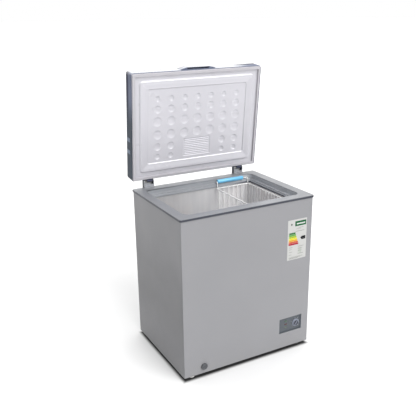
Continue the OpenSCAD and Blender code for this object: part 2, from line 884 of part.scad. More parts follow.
// Where the screws that reach into the lid's foam need room
module lid_screw_room() {
    at_hinges() for (p = leaf_screws)
        face_back(p[0], pin_y - 30, pin_z + p[1]) cylinder(h = 20, r = 2.2);
    at_handle_screws() face_back(0, 0, 0) cylinder(h = 8, r = 5);
}

module lid_frame() {
    color("darkslategray") lid_place() difference() {
        lid_block(0, 0, lid_t);
        lid_block(band_t, -1, lid_t - band_t);
        lid_slab(skin_in, lid_t - 10, lid_t + 10);
        at_hinges() for (p = leaf_screws)
            face_back(p[0], pin_y - 20, pin_z + p[1]) cylinder(h = 10, r = 1.7);
        at_handle_screws() face_back(0, -1, 0) cylinder(h = 10, r = 2);
    }
}

module lid_skin() {
    color("silver") lid_place() lid_slab(skin_in, lid_t - 1, lid_t);
}

// A ball for each dimple, grown by t
module dimple_balls(t) {
    for (row = dimple_rows, i = [-3 : 3]) if (abs(i) >= row[2]) {
        ball = (row[1] * row[1] + dimple_depth * dimple_depth) / (2 * dimple_depth);
        z = lid_low + field_sink + dimple_depth - ball;
        translate([i * dimple_pitch, lid_back - row[0], z]) sphere(ball + t, $fn = 96);
    }
}

// The dimples' walls, as they stand up out of the lid's inner sheet
module dimple_cups() {
    intersection() {
        dimple_balls(liner_t);
        lid_slab(ridge_in, field_sink + liner_t / 2, field_sink + liner_t + dimple_depth + 5);
    }
}

module lid_foam() {
    color("khaki") lid_place() difference() {
        union() {
            lid_block(band_t, liner_t, lid_t - band_t);
            lid_slab(skin_in, lid_t - band_t - 10, lid_t - 1);
            lid_ring(ridge_out + liner_t, ridge_in - liner_t, liner_t - ridge_h, liner_t + 1);
        }
        lid_slab(ridge_in - liner_t, -20, field_sink + liner_t);
        dimple_cups();
        lid_screw_room();
    }
}

module lid_liner() {
    y0 = lid_back - rib_v[1];
    y1 = lid_back - rib_v[0];
    pitch = (rib_v[1] - rib_v[0]) / rib_n;
    color("white") lid_place() difference() {
        union() {
            lid_ring(band_t, ridge_out + liner_t, 0, liner_t);
            lid_ring(ridge_out, ridge_out + liner_t, -ridge_h, liner_t);
            lid_ring(ridge_out, ridge_in, -ridge_h, liner_t - ridge_h);
            lid_ring(ridge_in - liner_t, ridge_in, -ridge_h, field_sink + liner_t);
            lid_slab(ridge_in - liner_t, field_sink, field_sink + liner_t);
            dimple_cups();
        }
        dimple_balls(0);
        // grooves between the ribs
        for (i = [0 : rib_n])
            span([-rib_x, y0 + (i - 0.32) * pitch, lid_low],
                 [rib_x, y0 + (i + 0.32) * pitch, lid_low + field_sink + 1.2]);
    }
}

module lid_gasket() {
    color("white") lid_place() lid_ring(gasket_in, gasket_in + gasket_w, -gasket_h, 0);
}

// Pull with its finger pocket open downward
module lid_handle() {
    base = 100;
    top = 63;
    color("darkslategray") lid_place() difference() {
        translate([0, lid_front, handle_z[0]]) linear_extrude(handle_z[1] - handle_z[0])
            polygon([[-base, 0], [base, 0], [top, -handle_out], [-top, -handle_out]]);
        span([-60, lid_front - handle_out + 1.8, handle_z[0] - 1],
             [60, lid_front - 1.5, handle_z[0] + 26]);
        at_handle_screws() face_back(0, -4, 0) cylinder(h = 10, r = 1.5);
    }
}

module lid_handle_screws() {
    color("silver") lid_place() at_handle_screws() face_back(0, band_t, 0) screw(4, 1.5, 6.5);
}

// ---------- basket ----------

module basket_ring(z, r) {
    x = ring_x;
    y = ring_y;
    tube_path([[-x, -y, z], [x, -y, z], [x, y, z], [-x, y, z]], r, ring_bend, true);
}

// Rings of thick wire, with a handle loop at each end
module basket_frame() {
    x = ring_x - ring_bend;
    color("white") translate([basket_x, 0, 0]) {
        basket_ring(ring_z, wire_r);
        basket_ring(ring_z - 0.6 * basket_h, wire_r);
        basket_ring(low_z, wire_r);
        for (s = [-1, 1])
            tube_path([[-x, s * ring_y, ring_z], [-x, s * ring_y, grip_z], [-x, s * grip_y, grip_z],
                [x, s * grip_y, grip_z], [x, s * ring_y, grip_z], [x, s * ring_y, ring_z]], wire_r, 5);
    }
}

// Place i of n wires spread evenly over a half width w
function spread(i, n, w) = (2 * i / (n - 1) - 1) * w;

module basket_side_wires() {
    x = ring_x - wall_wire;
    y = ring_y - wall_wire;
    color("white") translate([basket_x, 0, low_z + thin_r]) {
        for (i = [0 : long_n - 1], s = [-1, 1])
            translate([s * x, spread(i, long_n, y - 12), 0]) cylinder(h = basket_h, r = thin_r);
        for (i = [0 : short_n - 1], s = [-1, 1])
            translate([spread(i, short_n, x - 12), s * y, 0]) cylinder(h = basket_h, r = thin_r);
    }
}

// Wires across the floor: one layer each way
module basket_floor_wires() {
    x = ring_x - wall_wire;
    y = ring_y - wall_wire;
    color("white") translate([basket_x, 0, low_z - 0.02]) {
        for (i = [0 : long_n - 1]) translate([0, spread(i, long_n, y - 12), 0])
            rod([-x - thin_r, 0, 0], [x + thin_r, 0, 0], thin_r);
        for (i = [0 : short_n - 1]) translate([spread(i, short_n, x - 12), 0, -2 * thin_r])
            rod([0, -y - thin_r, 0], [0, y + thin_r, 0], thin_r);
    }
}

module basket_grips() {
    color("deepskyblue") translate([basket_x - 10, 0, grip_z]) for (s = [-1, 1])
        difference() {
            rod([-grip_l / 2, s * grip_y, 0], [grip_l / 2, s * grip_y, 0], grip_r);
            rod([-grip_l, s * grip_y, 0], [grip_l, s * grip_y, 0], wire_r + fit);
        }
}

placed() outer_wrap();
placed() back_panel();
placed() base_pan();
placed() cabinet_foam();
placed() inner_liner();
placed() top_frame();
placed() frame_edge_trim();
placed() evaporator_coil();
placed() condenser_coil();
placed() machine_room_panel();
placed() compressor_tray();
placed() compressor_grommets();
placed() compressor_bolts();
placed() compressor_base_plate();
placed() compressor_shell();
placed() start_relay();
placed() relay_cover();
placed() filter_drier();
placed() suction_tube();
placed() discharge_tube();
placed() capillary_tube();
placed() side_vent_grille();
placed() rear_cover();
placed() rear_cover_screws();
placed() control_bezel();
placed() thermostat_body();
placed() thermostat_sensing_tube();
placed() indicator_lenses();
placed() indicator_lamps();
placed() drain_tube();
placed() drain_collar();
placed() feet();
placed() foot_screws();
placed() hinge_brackets();
placed() hinge_covers();
placed() hinge_bracket_screws();
placed() hinge_pins();
placed() hinge_springs();
placed() energy_label();
placed() rating_plate();
placed() cord_gland();
placed() terminal_block();
placed() thermostat_knob();
placed() thermostat_shaft();
placed() drain_cap();
placed() drain_plug();
placed() lid_skin();
placed() lid_frame();
placed() lid_foam();
placed() lid_liner();
placed() lid_gasket();
placed() lid_handle();
placed() lid_handle_screws();
placed() hinge_leaves();
placed() hinge_leaf_screws();
placed() basket_frame();
placed() basket_side_wires();
placed() basket_floor_wires();
placed() basket_grips();
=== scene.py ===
# Chest freezer with its lid open: the looks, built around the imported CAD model.
# Metres, in the CAD frame: X to the right, Y to the back, Z up.
import json
import math

import bmesh
import bpy
from mathutils import Matrix, Vector


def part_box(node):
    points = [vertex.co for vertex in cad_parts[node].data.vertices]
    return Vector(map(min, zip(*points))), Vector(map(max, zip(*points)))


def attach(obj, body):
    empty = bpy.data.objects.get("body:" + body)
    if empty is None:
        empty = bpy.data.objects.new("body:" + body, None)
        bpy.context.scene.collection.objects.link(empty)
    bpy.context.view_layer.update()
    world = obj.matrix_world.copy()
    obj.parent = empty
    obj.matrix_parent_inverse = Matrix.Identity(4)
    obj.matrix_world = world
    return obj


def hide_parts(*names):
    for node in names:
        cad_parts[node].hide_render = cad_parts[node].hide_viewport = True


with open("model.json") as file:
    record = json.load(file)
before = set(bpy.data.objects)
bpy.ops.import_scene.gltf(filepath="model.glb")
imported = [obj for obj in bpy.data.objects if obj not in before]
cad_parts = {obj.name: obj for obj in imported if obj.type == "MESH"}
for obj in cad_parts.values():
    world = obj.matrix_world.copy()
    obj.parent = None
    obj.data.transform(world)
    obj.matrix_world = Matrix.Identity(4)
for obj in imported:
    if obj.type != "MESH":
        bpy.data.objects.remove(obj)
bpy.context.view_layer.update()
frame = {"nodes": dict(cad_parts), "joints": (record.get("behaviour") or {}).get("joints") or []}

MM = 0.001
scene = bpy.context.scene

# ---------- places, from the frame ----------

WRAP_LO, WRAP_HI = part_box("outer_wrap")
HALF_W = WRAP_HI.x
HALF_D = (WRAP_HI.y - WRAP_LO.y) / 2
MID_Y = (WRAP_HI.y + WRAP_LO.y) / 2
FRONT_Y = WRAP_LO.y
RIM_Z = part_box("top_frame")[1].z

HINGE = next(j for j in frame["joints"] if j["name"] == "lid_hinge")
PIN = Vector(HINGE["pos_m"])
LID_ANGLE = math.radians(HINGE["range_deg"][1])
LID_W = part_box("lid_frame")[1].x * 2
LID_D = 535 * MM
LID_LOW = PIN.z - 16.6 * MM  # the shut lid's lower face
LID_BACK = PIN.y - 14.3 * MM
LID_MID = LID_BACK - LID_D / 2
LID_OPEN = Matrix.Translation(PIN) @ Matrix.Rotation(-LID_ANGLE, 4, "X") @ Matrix.Translation(-PIN)


# ---------- mesh helpers ----------

def fillet(points, radii, closed=True, steps=4):
    """Points with the corners rounded; radii is one number or one for each point."""
    pts = [Vector(p).to_3d() for p in points]
    n = len(pts)
    if not hasattr(radii, "__len__"):
        radii = [radii] * n
    made = []
    for i, b in enumerate(pts):
        r = radii[i]
        if r <= 0 or (not closed and i in (0, n - 1)):
            made.append(b)
            continue
        d1 = (b - pts[i - 1]).normalized()
        d2 = (pts[(i + 1) % n] - b).normalized()
        angle = d1.angle(d2)
        axis = d1.cross(d2).normalized()
        start = b - d1 * r * math.tan(angle / 2)
        centre = start + axis.cross(d1) * r
        for k in range(steps + 1):
            made.append(centre + Matrix.Rotation(angle * k / steps, 3, axis) @ (start - centre))
    return made


def rounded_rect(w, d, r, steps=8):
    """Outline of a w by d rectangle round the origin, corners of radius r, anticlockwise."""
    made = []
    for k, (sx, sy) in enumerate(((1, 1), (-1, 1), (-1, -1), (1, -1))):
        for i in range(steps + 1):
            a = math.pi / 2 * (k + i / steps)
            made.append((sx * (w / 2 - r) + r * math.cos(a), sy * (d / 2 - r) + r * math.sin(a)))
    return made


def join_rings(bm, a, b):
    """Quads between two closed rings of vertices."""
    for k in range(len(a)):
        m = (k + 1) % len(a)
        bm.faces.new((a[k], a[m], b[m], b[k]))


def join_rows(bm, rows):
    """Quads between open rows of vertices."""
    for a, b in zip(rows, rows[1:]):
        for k in range(len(a) - 1):
            bm.faces.new((a[k], a[k + 1], b[k + 1], b[k]))


def stitch(bm, loops, closed=True, capped=False):
    """Quads between loops of equal length, which meet end to end or may be capped."""
    rings = [[bm.verts.new(p) for p in loop] for loop in loops]
    for i in range(len(rings) if closed else len(rings) - 1):
        join_rings(bm, rings[i], rings[(i + 1) % len(rings)])
    if capped:
        bm.faces.new(rings[0])
        bm.faces.new(rings[-1])
    return rings


def frame_sweep(profile, w, d, centre, z0, corner):
    """A profile of (inset, height) in mm swept round a w by d rectangle; corner(u) is the radius in mm."""
    bm = bmesh.new()
    loops = []
    for p in profile:
        u, z = p[0] * MM, p[1] * MM
        ring = rounded_rect(w - 2 * u, d - 2 * u, corner(p[0]) * MM)
        loops.append([(x + centre[0], y + centre[1], z0 + z) for x, y in ring])
    stitch(bm, loops)
    return bm


def circle(r, z, steps):
    """Points round the Z axis."""
    turns = (2 * math.pi * k / steps for k in range(steps))
    return [Vector((r * math.cos(a), r * math.sin(a), z)) for a in turns]


def lathe(bm, profile, place=Matrix.Identity(4), steps=48):
    """A profile of (radius, height) in mm turned about Z. It starts and ends on the axis or meets itself."""
    rings = [[bm.verts.new(place @ (p * MM)) for p in circle(r, z, steps if r else 1)] for r, z in profile]
    closed = profile[0][0] > 0
    for i in range(len(rings) - (0 if closed else 1)):
        a, b = rings[i], rings[(i + 1) % len(rings)]
        for k in range(steps):
            m = (k + 1) % steps
            corners = dict.fromkeys((a[k % len(a)], a[m % len(a)], b[m % len(b)], b[k % len(b)]))
            if len(corners) > 2:
                bm.faces.new(list(corners))


def sweep(bm, path, radius, closed=False, sides=12):
    """A round wire along a path, with rounded ends."""
    n = len(path)
    tangents = []
    for i in range(n):
        a = path[i - 1] if closed or i > 0 else path[0]
        b = path[(i + 1) % n] if closed or i < n - 1 else path[-1]
        tangents.append((b - a).normalized())
    side = tangents[0].orthogonal().normalized()
    loops = []
    for p, t in zip(path, tangents):
        side = (side - t * side.dot(t)).normalized()
        up = t.cross(side)
        loops.append([p + radius * (math.cos(2 * math.pi * k / sides) * side
                                    + math.sin(2 * math.pi * k / sides) * up)
                      for k in range(sides)])
    rings = stitch(bm, loops, closed=False)
    if closed:
        last, first = rings[-1], rings[0]
        shift = min(range(sides), key=lambda s: sum((last[k].co - first[(k + s) % sides].co).length
                                                    for k in range(sides)))
        join_rings(bm, last, first[shift:] + first[:shift])
        return
    for ring, p, t in ((rings[0], path[0], -tangents[0]), (rings[-1], path[-1], tangents[-1])):
        shoulder = [bm.verts.new(p + t * radius * 0.6 + (v.co - p) * 0.7) for v in ring]
        tip = bm.verts.new(p + t * radius * 0.9)
        join_rings(bm, ring, shoulder)
        for k in range(sides):
            bm.faces.new((shoulder[k], shoulder[(k + 1) % sides], tip))


def merge(bm, other):
    """Adds other's geometry to bm."""
    mesh = bpy.data.meshes.new("part")
    other.to_mesh(mesh)
    other.free()
    bm.from_mesh(mesh)
    bpy.data.meshes.remove(mesh)


def add_slab(bm, lo, hi, edge, place):
    """A box in mm with its edges rounded by edge mm, moved to its place and added to bm."""
    made = bmesh.new()
    for v in bmesh.ops.create_cube(made, size=1)["verts"]:
        v.co = [(lo[i] + (v.co[i] + 0.5) * (hi[i] - lo[i])) * MM for i in range(3)]
    if edge > 0:
        bmesh.ops.bevel(made, geom=made.edges[:], offset=edge * MM, segments=2, profile=0.5, affect="EDGES")
    made.transform(place)
    merge(bm, made)


def spin(turns, place):
    """Places turned evenly round the local Z of a place."""
    return [place @ Matrix.Rotation(2 * math.pi * k / turns, 4, "Z") for k in range(turns)]


def piece(name, bm, body, mats, replaces=(), place=None, smooth=35):
    """Turns bm into an object that rides on a CAD body."""
    bmesh.ops.remove_doubles(bm, verts=bm.verts, dist=1e-6)
    bmesh.ops.recalc_face_normals(bm, faces=bm.faces)
    mesh = bpy.data.meshes.new(name)
    bm.to_mesh(mesh)
    bm.free()
    if place is not None:
        mesh.transform(place)
    for m in mats if isinstance(mats, (list, tuple)) else [mats]:
        mesh.materials.append(m)
    mesh.polygons.foreach_set("use_smooth", [True] * len(mesh.polygons))
    mesh.set_sharp_from_angle(angle=math.radians(smooth))
    obj = bpy.data.objects.new(name, mesh)
    scene.collection.objects.link(obj)
    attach(obj, body)
    if replaces:
        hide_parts(*replaces)
    return obj


def weigh_normals(obj):
    """Keeps big flat faces flat beside their small fillets."""
    m = obj.modifiers.new("normals", "WEIGHTED_NORMAL")
    m.keep_sharp = True
    m.weight = 80


def dress(node, material, edge=0.0):
    """Gives a CAD node its material and, with modifiers only, softly rounded edges of edge mm."""
    obj = frame["nodes"][node]
    obj.data.materials.clear()
    obj.data.materials.append(material)
    if edge > 0:
        weld = obj.modifiers.new("weld", "WELD")
        weld.merge_threshold = 1e-5
        flat = obj.modifiers.new("flat", "DECIMATE")
        flat.decimate_type = "DISSOLVE"
        flat.angle_limit = math.radians(0.5)
        bevel = obj.modifiers.new("bevel", "BEVEL")
        bevel.width = edge * MM
        bevel.segments = 2
        bevel.limit_method = "ANGLE"
        bevel.angle_limit = math.radians(40)
        weigh_normals(obj)
    for p in obj.data.polygons:
        p.use_smooth = True
    obj.data.set_sharp_from_angle(angle=math.radians(35))
    return obj


# ---------- material helpers ----------

def srgb(r, g, b):
    """A colour read as 0 to 255, as the linear values a shader takes."""
    made = [c / 255 for c in (r, g, b)]
    made = [c / 12.92 if c <= 0.04045 else ((c + 0.055) / 1.055) ** 2.4 for c in made]
    return (*made, 1.0)


def shade(colour, factor):
    """A colour made darker or lighter."""
    return tuple(min(1, c * factor) for c in colour[:3]) + (1,)


class Nodes:
    """Short ways to make and link the nodes of one tree."""

    def __init__(self, tree):
        self.tree = tree

    def feed(self, made, key, value):
        """Links a socket to an input, or sets the input's value."""
        if isinstance(value, bpy.types.NodeSocket):
            self.tree.links.new(value, made.inputs[key])
        else:
            made.inputs[key].default_value = value

    def node(self, kind, inputs=None, **settings):
        made = self.tree.nodes.new(kind)
        for key, value in settings.items():
            setattr(made, key, value)
        for key, value in (inputs or {}).items():
            self.feed(made, key, value)
        return made

    def part(self, vector, name):
        """One axis of a vector."""
        return self.node("ShaderNodeSeparateXYZ", {0: vector}).outputs[name]

    def math(self, kind, a, b=0.0):
        return self.node("ShaderNodeMath", {0: a, 1: b}, operation=kind).outputs[0]

    def times(self, a, b):
        return self.math("MULTIPLY", a, b)

    def mix(self, fac, a, b, blend="MIX"):
        inputs = {0: fac, 6: a, 7: b}
        return self.node("ShaderNodeMix", inputs, data_type="RGBA", blend_type=blend).outputs[2]

    def ramp(self, fac, stops, smooth=False):
        """A colour or grey level by fac; stops are (place, colour or level)."""
        made = self.node("ShaderNodeValToRGB", {"Fac": fac})
        ramp = made.color_ramp
        ramp.interpolation = "EASE" if smooth else "LINEAR"
        while len(ramp.elements) < len(stops):
            ramp.elements.new(0.5)
        for element, (place, value) in zip(ramp.elements, stops):
            element.position = place
            element.color = value if hasattr(value, "__len__") else (value, value, value, 1)
        return made.outputs["Color"]


class Surface(Nodes):
    """A material under construction: a Principled shader and the procedural nodes that feed it."""

    def __init__(self, name, rough=0.5, metal=0.0, coat=0.0, spec=0.5):
        self.mat = bpy.data.materials.new(name)
        self.mat.use_nodes = True
        super().__init__(self.mat.node_tree)
        self.shader = self.tree.nodes["Principled BSDF"]
        for key, value in (("Roughness", rough), ("Metallic", metal), ("Coat Weight", coat),
                           ("Coat Roughness", 0.12), ("Specular IOR Level", spec)):
            self.set(key, value)
        self.coords = self.node("ShaderNodeTexCoord").outputs["Object"]

    def axis(self, name):
        return self.part(self.coords, name)

    def facing(self, name):
        """How far the surface faces along an axis, from -1 to 1."""
        return self.part(self.node("ShaderNodeTexCoord").outputs["Normal"], name)

    def along(self, where, stops, smooth=False):
        """A level by the place in metres along an axis or a socket; stops are (place, level)."""
        if isinstance(where, str):
            where = self.axis(where)
        first, span = stops[0][0], stops[-1][0] - stops[0][0]
        fac = self.math("DIVIDE", self.math("SUBTRACT", where, first), span)
        return self.ramp(fac, [((place - first) / span, level) for place, level in stops], smooth)

    def stretched(self, x, y, z):
        """The object's own coordinates, scaled along each axis."""
        return self.node("ShaderNodeVectorMath", {0: self.coords, 1: (x, y, z)},
                         operation="MULTIPLY").outputs[0]

    def noise(self, scale, detail=3.0, rough=0.55, vector=None):
        return self.node("ShaderNodeTexNoise", {
            "Vector": vector or self.coords, "Scale": scale, "Detail": detail,
            "Roughness": rough}).outputs["Fac"]

    def cells(self, scale):
        return self.node("ShaderNodeTexVoronoi", {"Vector": self.coords, "Scale": scale})

    def tint(self, colour, spread=0.06, scale=4.0, detail=4.0, vector=None):
        """The base colour, with slow cloudy variation."""
        return self.ramp(self.noise(scale, detail, vector=vector),
                         [(0.3, shade(colour, 1 - spread)), (0.7, shade(colour, 1 + spread))])

    def specked(self, base, colour):
        """The base with fine darker specks, as in moulded plastic."""
        specks = self.ramp(self.cells(700).outputs["Distance"], [(0.0, 0.0), (0.06, 0.0), (0.09, 1.0)])
        return self.mix(specks, shade(colour, 0.8), base)

    def bump(self, height, depth, before=None):
        """Relief of depth mm from a height of 0 to 1."""
        inputs = {"Height": height, "Strength": 1.0, "Distance": depth * MM}
        if before is not None:
            inputs["Normal"] = before
        return self.node("ShaderNodeBump", inputs).outputs["Normal"]

    def set(self, name, value):
        self.feed(self.shader, name, value)

    def done(self, base, rough=None, relief=None):
        """Ends the material: rough is (low, high, noise scale, detail), relief (noise scale, mm)."""
        self.set("Base Color", base)
        if isinstance(rough, tuple):
            rough = self.ramp(self.noise(*rough[2:]), [(0.3, rough[0]), (0.7, rough[1])])
        if isinstance(relief, tuple):
            relief = self.bump(self.noise(relief[0], 2), relief[1])
        for name, value in (("Roughness", rough), ("Normal", relief)):
            if value is not None:
                self.set(name, value)
        return self.mat


# ---------- materials ----------

def painted_steel(name, colour, rough=(0.36, 0.46), shade_left_side=False):
    """Coil-coated sheet: fine orange peel, cloudiness, dust near the floor; optionally painted shade on the
    left side, darkest somewhat below mid-height.
    """
    s = Surface(name, coat=0.05, spec=0.3)
    base = s.tint(colour, 0.035, 2.2, 5)
    flake = s.ramp(s.noise(1400, 1), [(0.35, 0.0), (0.65, 1.0)])
    base = s.mix(s.times(flake, 0.05), base, (0.75, 0.76, 0.78, 1))
    low = s.along("Z", [(0.0125, 1.0), (0.125, 0.0)], True)
    dust = s.times(low, s.ramp(s.noise(30, 6, 0.7), [(0.45, 0.0), (0.75, 0.22)]))
    base = s.mix(dust, base, srgb(150, 146, 138))
    if shade_left_side:
        # Painted shade: the left face is darkened, least near the floor and near the top.
        side = s.along("X", [(-HALF_W + 0.5 * MM, 1.0), (-HALF_W + 2 * MM, 0.0)])
        left_shade_by_height = s.along("Z", [(0.05, 0.8), (0.17, 0.7), (0.31, 0.59), (0.46, 0.63), (0.6, 0.73),
                             (0.75, 0.79)])
        base = s.mix(side, base, s.mix(1.0, base, left_shade_by_height, "MULTIPLY"))
    return s.done(base, (*rough, 5, 4), s.bump(s.noise(6, 1), 0.35, s.bump(s.noise(420, 2), 0.02)))


def galvanised(name):
    """Zinc-coated sheet with its crystal pattern."""
    s = Surface(name, metal=0.85)
    grey = s.node("ShaderNodeSeparateColor", {0: s.cells(90.0).outputs["Color"]}).outputs[0]
    base = s.ramp(grey, [(0.0, srgb(150, 153, 156)), (1.0, srgb(188, 190, 192))])
    base = s.mix(s.noise(9, 5), base, srgb(160, 160, 158))
    return s.done(base, s.ramp(grey, [(0.0, 0.38), (1.0, 0.58)]), s.bump(s.noise(300, 3), 0.03))


def moulded(name, colour, rough=(0.38, 0.5), grain=0.03):
    """Injection-moulded plastic: fine spark-eroded grain, faint flow marks, slight handling sheen."""
    s = Surface(name)
    base = s.tint(colour, 0.05, 7, 5, s.stretched(1.0, 1.0, 0.35))
    return s.done(s.specked(base, colour), (*rough, 14, 5), (900, grain))


def from_pin(s):
    """Distances to the back and upward from the hinge's axis."""
    return s.math("SUBTRACT", s.axis("Y"), PIN.y), s.math("SUBTRACT", s.axis("Z"), PIN.z)


def in_lid(s, y, z):
    """A distance in metres within the closed lid, along y and z from its hinge's axis."""
    across, height = from_pin(s)
    c, n = math.cos(LID_ANGLE), math.sin(LID_ANGLE)
    return s.math("ADD", s.times(across, y * c + z * n), s.times(height, z * c - y * n))


def face_lit_plastic(name, colour, other, axis, sign, rough=(0.35, 0.5)):
    """Fine-grained plastic with its faces toward one side of an axis painted lighter, as painted light."""
    s = Surface(name, spec=0.4)
    # Painted light: faces turned this way take the lighter colour.
    lit_faces = s.ramp(s.times(s.facing(axis), sign), [(0.6, 0.0), (0.85, 1.0)])
    base = s.mix(lit_faces, s.tint(colour, 0.05, 7, 5), s.tint(other, 0.05, 9, 5))
    return s.done(base, (*rough, 14, 5), (900, 0.015))


def lid_plastic(name, colour, pale, low):
    """Slate plastic, polished along the lid's front edge, satin, paler toward its inner face, with a painted
    reflection on its lower part.
    """
    s = Surface(name, spec=0.08)
    fore = s.along(in_lid(s, 0, 1), [(16.15 * MM, 1.0), (25.38 * MM, 0.0)])
    # Painted reflection: below this height the lid takes the greyer low colour.
    far = s.along("Z", [(PIN.z + 0.3, 0.0), (PIN.z + 0.42, 1.0)])
    upper = s.mix(fore, s.tint(colour, 0.06, 7, 5), s.tint(pale, 0.06, 7, 5))
    base = s.mix(far, s.tint(low, 0.06, 7, 5), upper)
    high = s.along("Z", [(PIN.z + 0.534, 0.0), (PIN.z + 0.544, 1.0)])
    polish = s.times(high, s.along("X", [(0.2, 1.0), (0.29, 0.0)]))
    s.set("Coat Weight", polish)
    gloss = s.math("ADD", polish, s.times(s.noise(14, 5), 0.2))
    return s.done(base, s.ramp(gloss, [(0.0, 0.42), (1.0, 0.16)]), (900, 0.01))


def rim_plastic(name, colour, pale):
    """Grey plastic with painted light and shade: the top darker toward its ends, painted light down its inner
    steps, lightest at the right, and painted shadow lines at the back-left and low on the right.
    """
    s = Surface(name, spec=0.45)
    depth = s.math("SUBTRACT", RIM_Z, s.axis("Z"))
    deep = s.along(depth, [(1.5 * MM, 0.0), (5 * MM, 1.0)])
    # Painted shade: the top darkens toward the right end and, less, toward the left end.
    ends = s.along("X", [(-0.3286, 0.55), (-0.1429, 0.15), (0.1071, 0.28), (0.3214, 1.0)])
    right = s.along("X", [(0.1667, 0.0), (0.28, 0.9)])
    left = s.along("X", [(-0.2667, 0.8), (0.0, 0.15)])
    rear = s.along("Y", [(MID_Y + 0.15, 0.0), (MID_Y + 0.175, 1.0)])
    top = s.mix(ends, s.tint(colour, 0.05, 7, 5), shade(colour, 0.72))
    # Painted light: the inner steps are lighter than the top, lightest at the right.
    base = s.mix(deep, top, s.mix(right, s.tint(pale, 0.06, 9, 5), srgb(180, 183, 188)))
    # Painted shadow: a dark line just under the rim's edge at the back-left.
    shadow_line = s.along(depth, [(0.8 * MM, 0.0), (2.4 * MM, 1.0), (6 * MM, 1.0), (8.4 * MM, 0.0)])
    base = s.mix(s.times(s.times(shadow_line, rear), left), base, srgb(52, 56, 60))
    # Painted shadow: a dark band low on the right inner wall.
    low = s.along(depth, [(32.5 * MM, 0.0), (34.5 * MM, 1.0)])
    base = s.mix(s.times(low, right), base, srgb(44, 49, 66))
    # Upward ledges in the steps go back to the top's colour, undoing part of the painted light.
    ledge = s.times(deep, s.ramp(s.facing("Z"), [(0.3, 0.0), (0.8, 0.7)]))
    return s.done(s.specked(s.mix(ledge, base, colour), colour), (0.3, 0.42, 14, 5), (900, 0.02))


def foot_plastic(name, colour, right_feet_colour):
    """White nylon; the feet on the right take a near-black colour, in patches."""
    s = Surface(name)
    darkening = s.times(s.along("X", [(-0.05, 0.0), (0.05, 1.0)]),
                  s.ramp(s.noise(120, 4), [(0.2, 0.85), (0.7, 1.0)]))
    return s.done(s.mix(darkening, s.tint(colour, 0.03, 40), right_feet_colour), (0.45, 0.6, 60), (900, 0.03))


def liner_metal(name):
    """Embossed aluminium sheet: rolling streaks, a warm cast in places, painted shade toward the left."""
    s = Surface(name, metal=0.25)
    streak = s.noise(5, 5, 0.6, s.stretched(7.0, 7.0, 0.6))
    base = s.ramp(streak, [(0.3, srgb(224, 224, 227)), (0.7, srgb(240, 239, 240))])
    base = s.mix(s.ramp(s.noise(3.2, 2), [(0.45, 0.0), (0.75, 0.4)]), base, srgb(238, 222, 218))
    # Painted shade: the colour darkens toward the left of the cavity.
    left = s.along("X", [(-0.2667, 0.56), (0.0333, 0.8), (0.2667, 1.0)])
    fine = s.bump(s.noise(900, 2, vector=s.stretched(1.0, 1.0, 0.08)), 0.02)
    return s.done(s.mix(1.0, base, left, "MULTIPLY"), s.ramp(streak, [(0.3, 0.34), (0.7, 0.5)]),
                  s.bump(s.noise(14, 3), 0.5, fine))


def pressed_sheet(name, colour):
    """Vacuum-formed polystyrene: satin, faint draw marks, painted highlights on its upward slopes and painted
    light on slopes tilted a little down.
    """
    s = Surface(name, coat=0.25)
    s.set("Subsurface Weight", 0.04)
    s.set("Subsurface Radius", (0.002, 0.002, 0.002))
    level = s.math("ADD", s.times(s.facing("Z"), 0.5), 0.5)
    # Painted highlight on slopes facing well upward; painted light on slopes tilted a little further down
    # than the field.
    painted_highlight_slopes = s.ramp(level, [(0.66, 0.0), (0.82, 1.0)])
    painted_light_slopes = s.ramp(level, [(0.24, 0.0), (0.33, 1.0), (0.39, 1.0), (0.435, 0.0)])
    base = s.mix(painted_highlight_slopes, s.tint(colour, 0.018, 5, 5), shade(colour, 1.6))
    return s.done(s.mix(painted_light_slopes, base, shade(colour, 1.13)), (0.26, 0.4, 8, 4),
                  s.bump(s.noise(18, 2), 0.12, s.bump(s.noise(600, 2), 0.008)))


def seal_rubber(name, colour, edge):
    """Magnetic gasket: matt vinyl, with painted shade along its outer lips at the side and at the hinges."""
    s = Surface(name, spec=0.35)
    # Painted shade: the outer lips darken where the gap beside them lies in shadow.
    side = s.along("X", [(LID_W / 2 - 9.5 * MM, 0.0), (LID_W / 2 - 8 * MM, 1.0)])
    foot = s.along(in_lid(s, 1, 0), [(-22 * MM, 0.0), (-19 * MM, 0.8)])
    painted_gap_shade = s.times(s.math("MAXIMUM", side, foot), s.ramp(s.noise(60, 3), [(0.2, 0.8), (0.7, 1.0)]))
    return s.done(s.mix(painted_gap_shade, s.tint(colour, 0.03, 16), edge), (0.5, 0.68, 24), (1100, 0.02))


def soft_rubber(name, colour, darkening=0.25):
    """Matt rubber with a faint bloom and a little dirt in patches."""
    s = Surface(name, spec=0.35)
    patches = s.ramp(s.noise(34, 6, 0.7), [(0.5, 0.0), (0.8, darkening)])
    base = s.mix(patches, s.tint(colour, 0.03, 16), shade(colour, 0.62))
    return s.done(base, (0.5, 0.68, 24), (1100, 0.02))


def coated_wire(name):
    """Wire dipped in white plastic: thick glossy film, uneven, greyer here and there."""
    s = Surface(name, coat=0.6)
    base = s.ramp(s.noise(45, 4), [(0.3, srgb(226, 226, 224)), (0.7, srgb(243, 243, 243))])
    return s.done(base, (0.18, 0.34, 60), (170, 0.12))


def grip_plastic(name, colour):
    """Soft tube grip: satin blue, faintly streaked along its length."""
    s = Surface(name, coat=0.3)
    lengthways = s.stretched(0.3, 3.0, 3.0)
    base = s.ramp(s.noise(40, 4, vector=lengthways), [(0.3, shade(colour, 0.86)), (0.7, colour)])
    return s.done(base, (0.3, 0.45, 30), s.bump(s.noise(500, 2, vector=lengthways), 0.05))


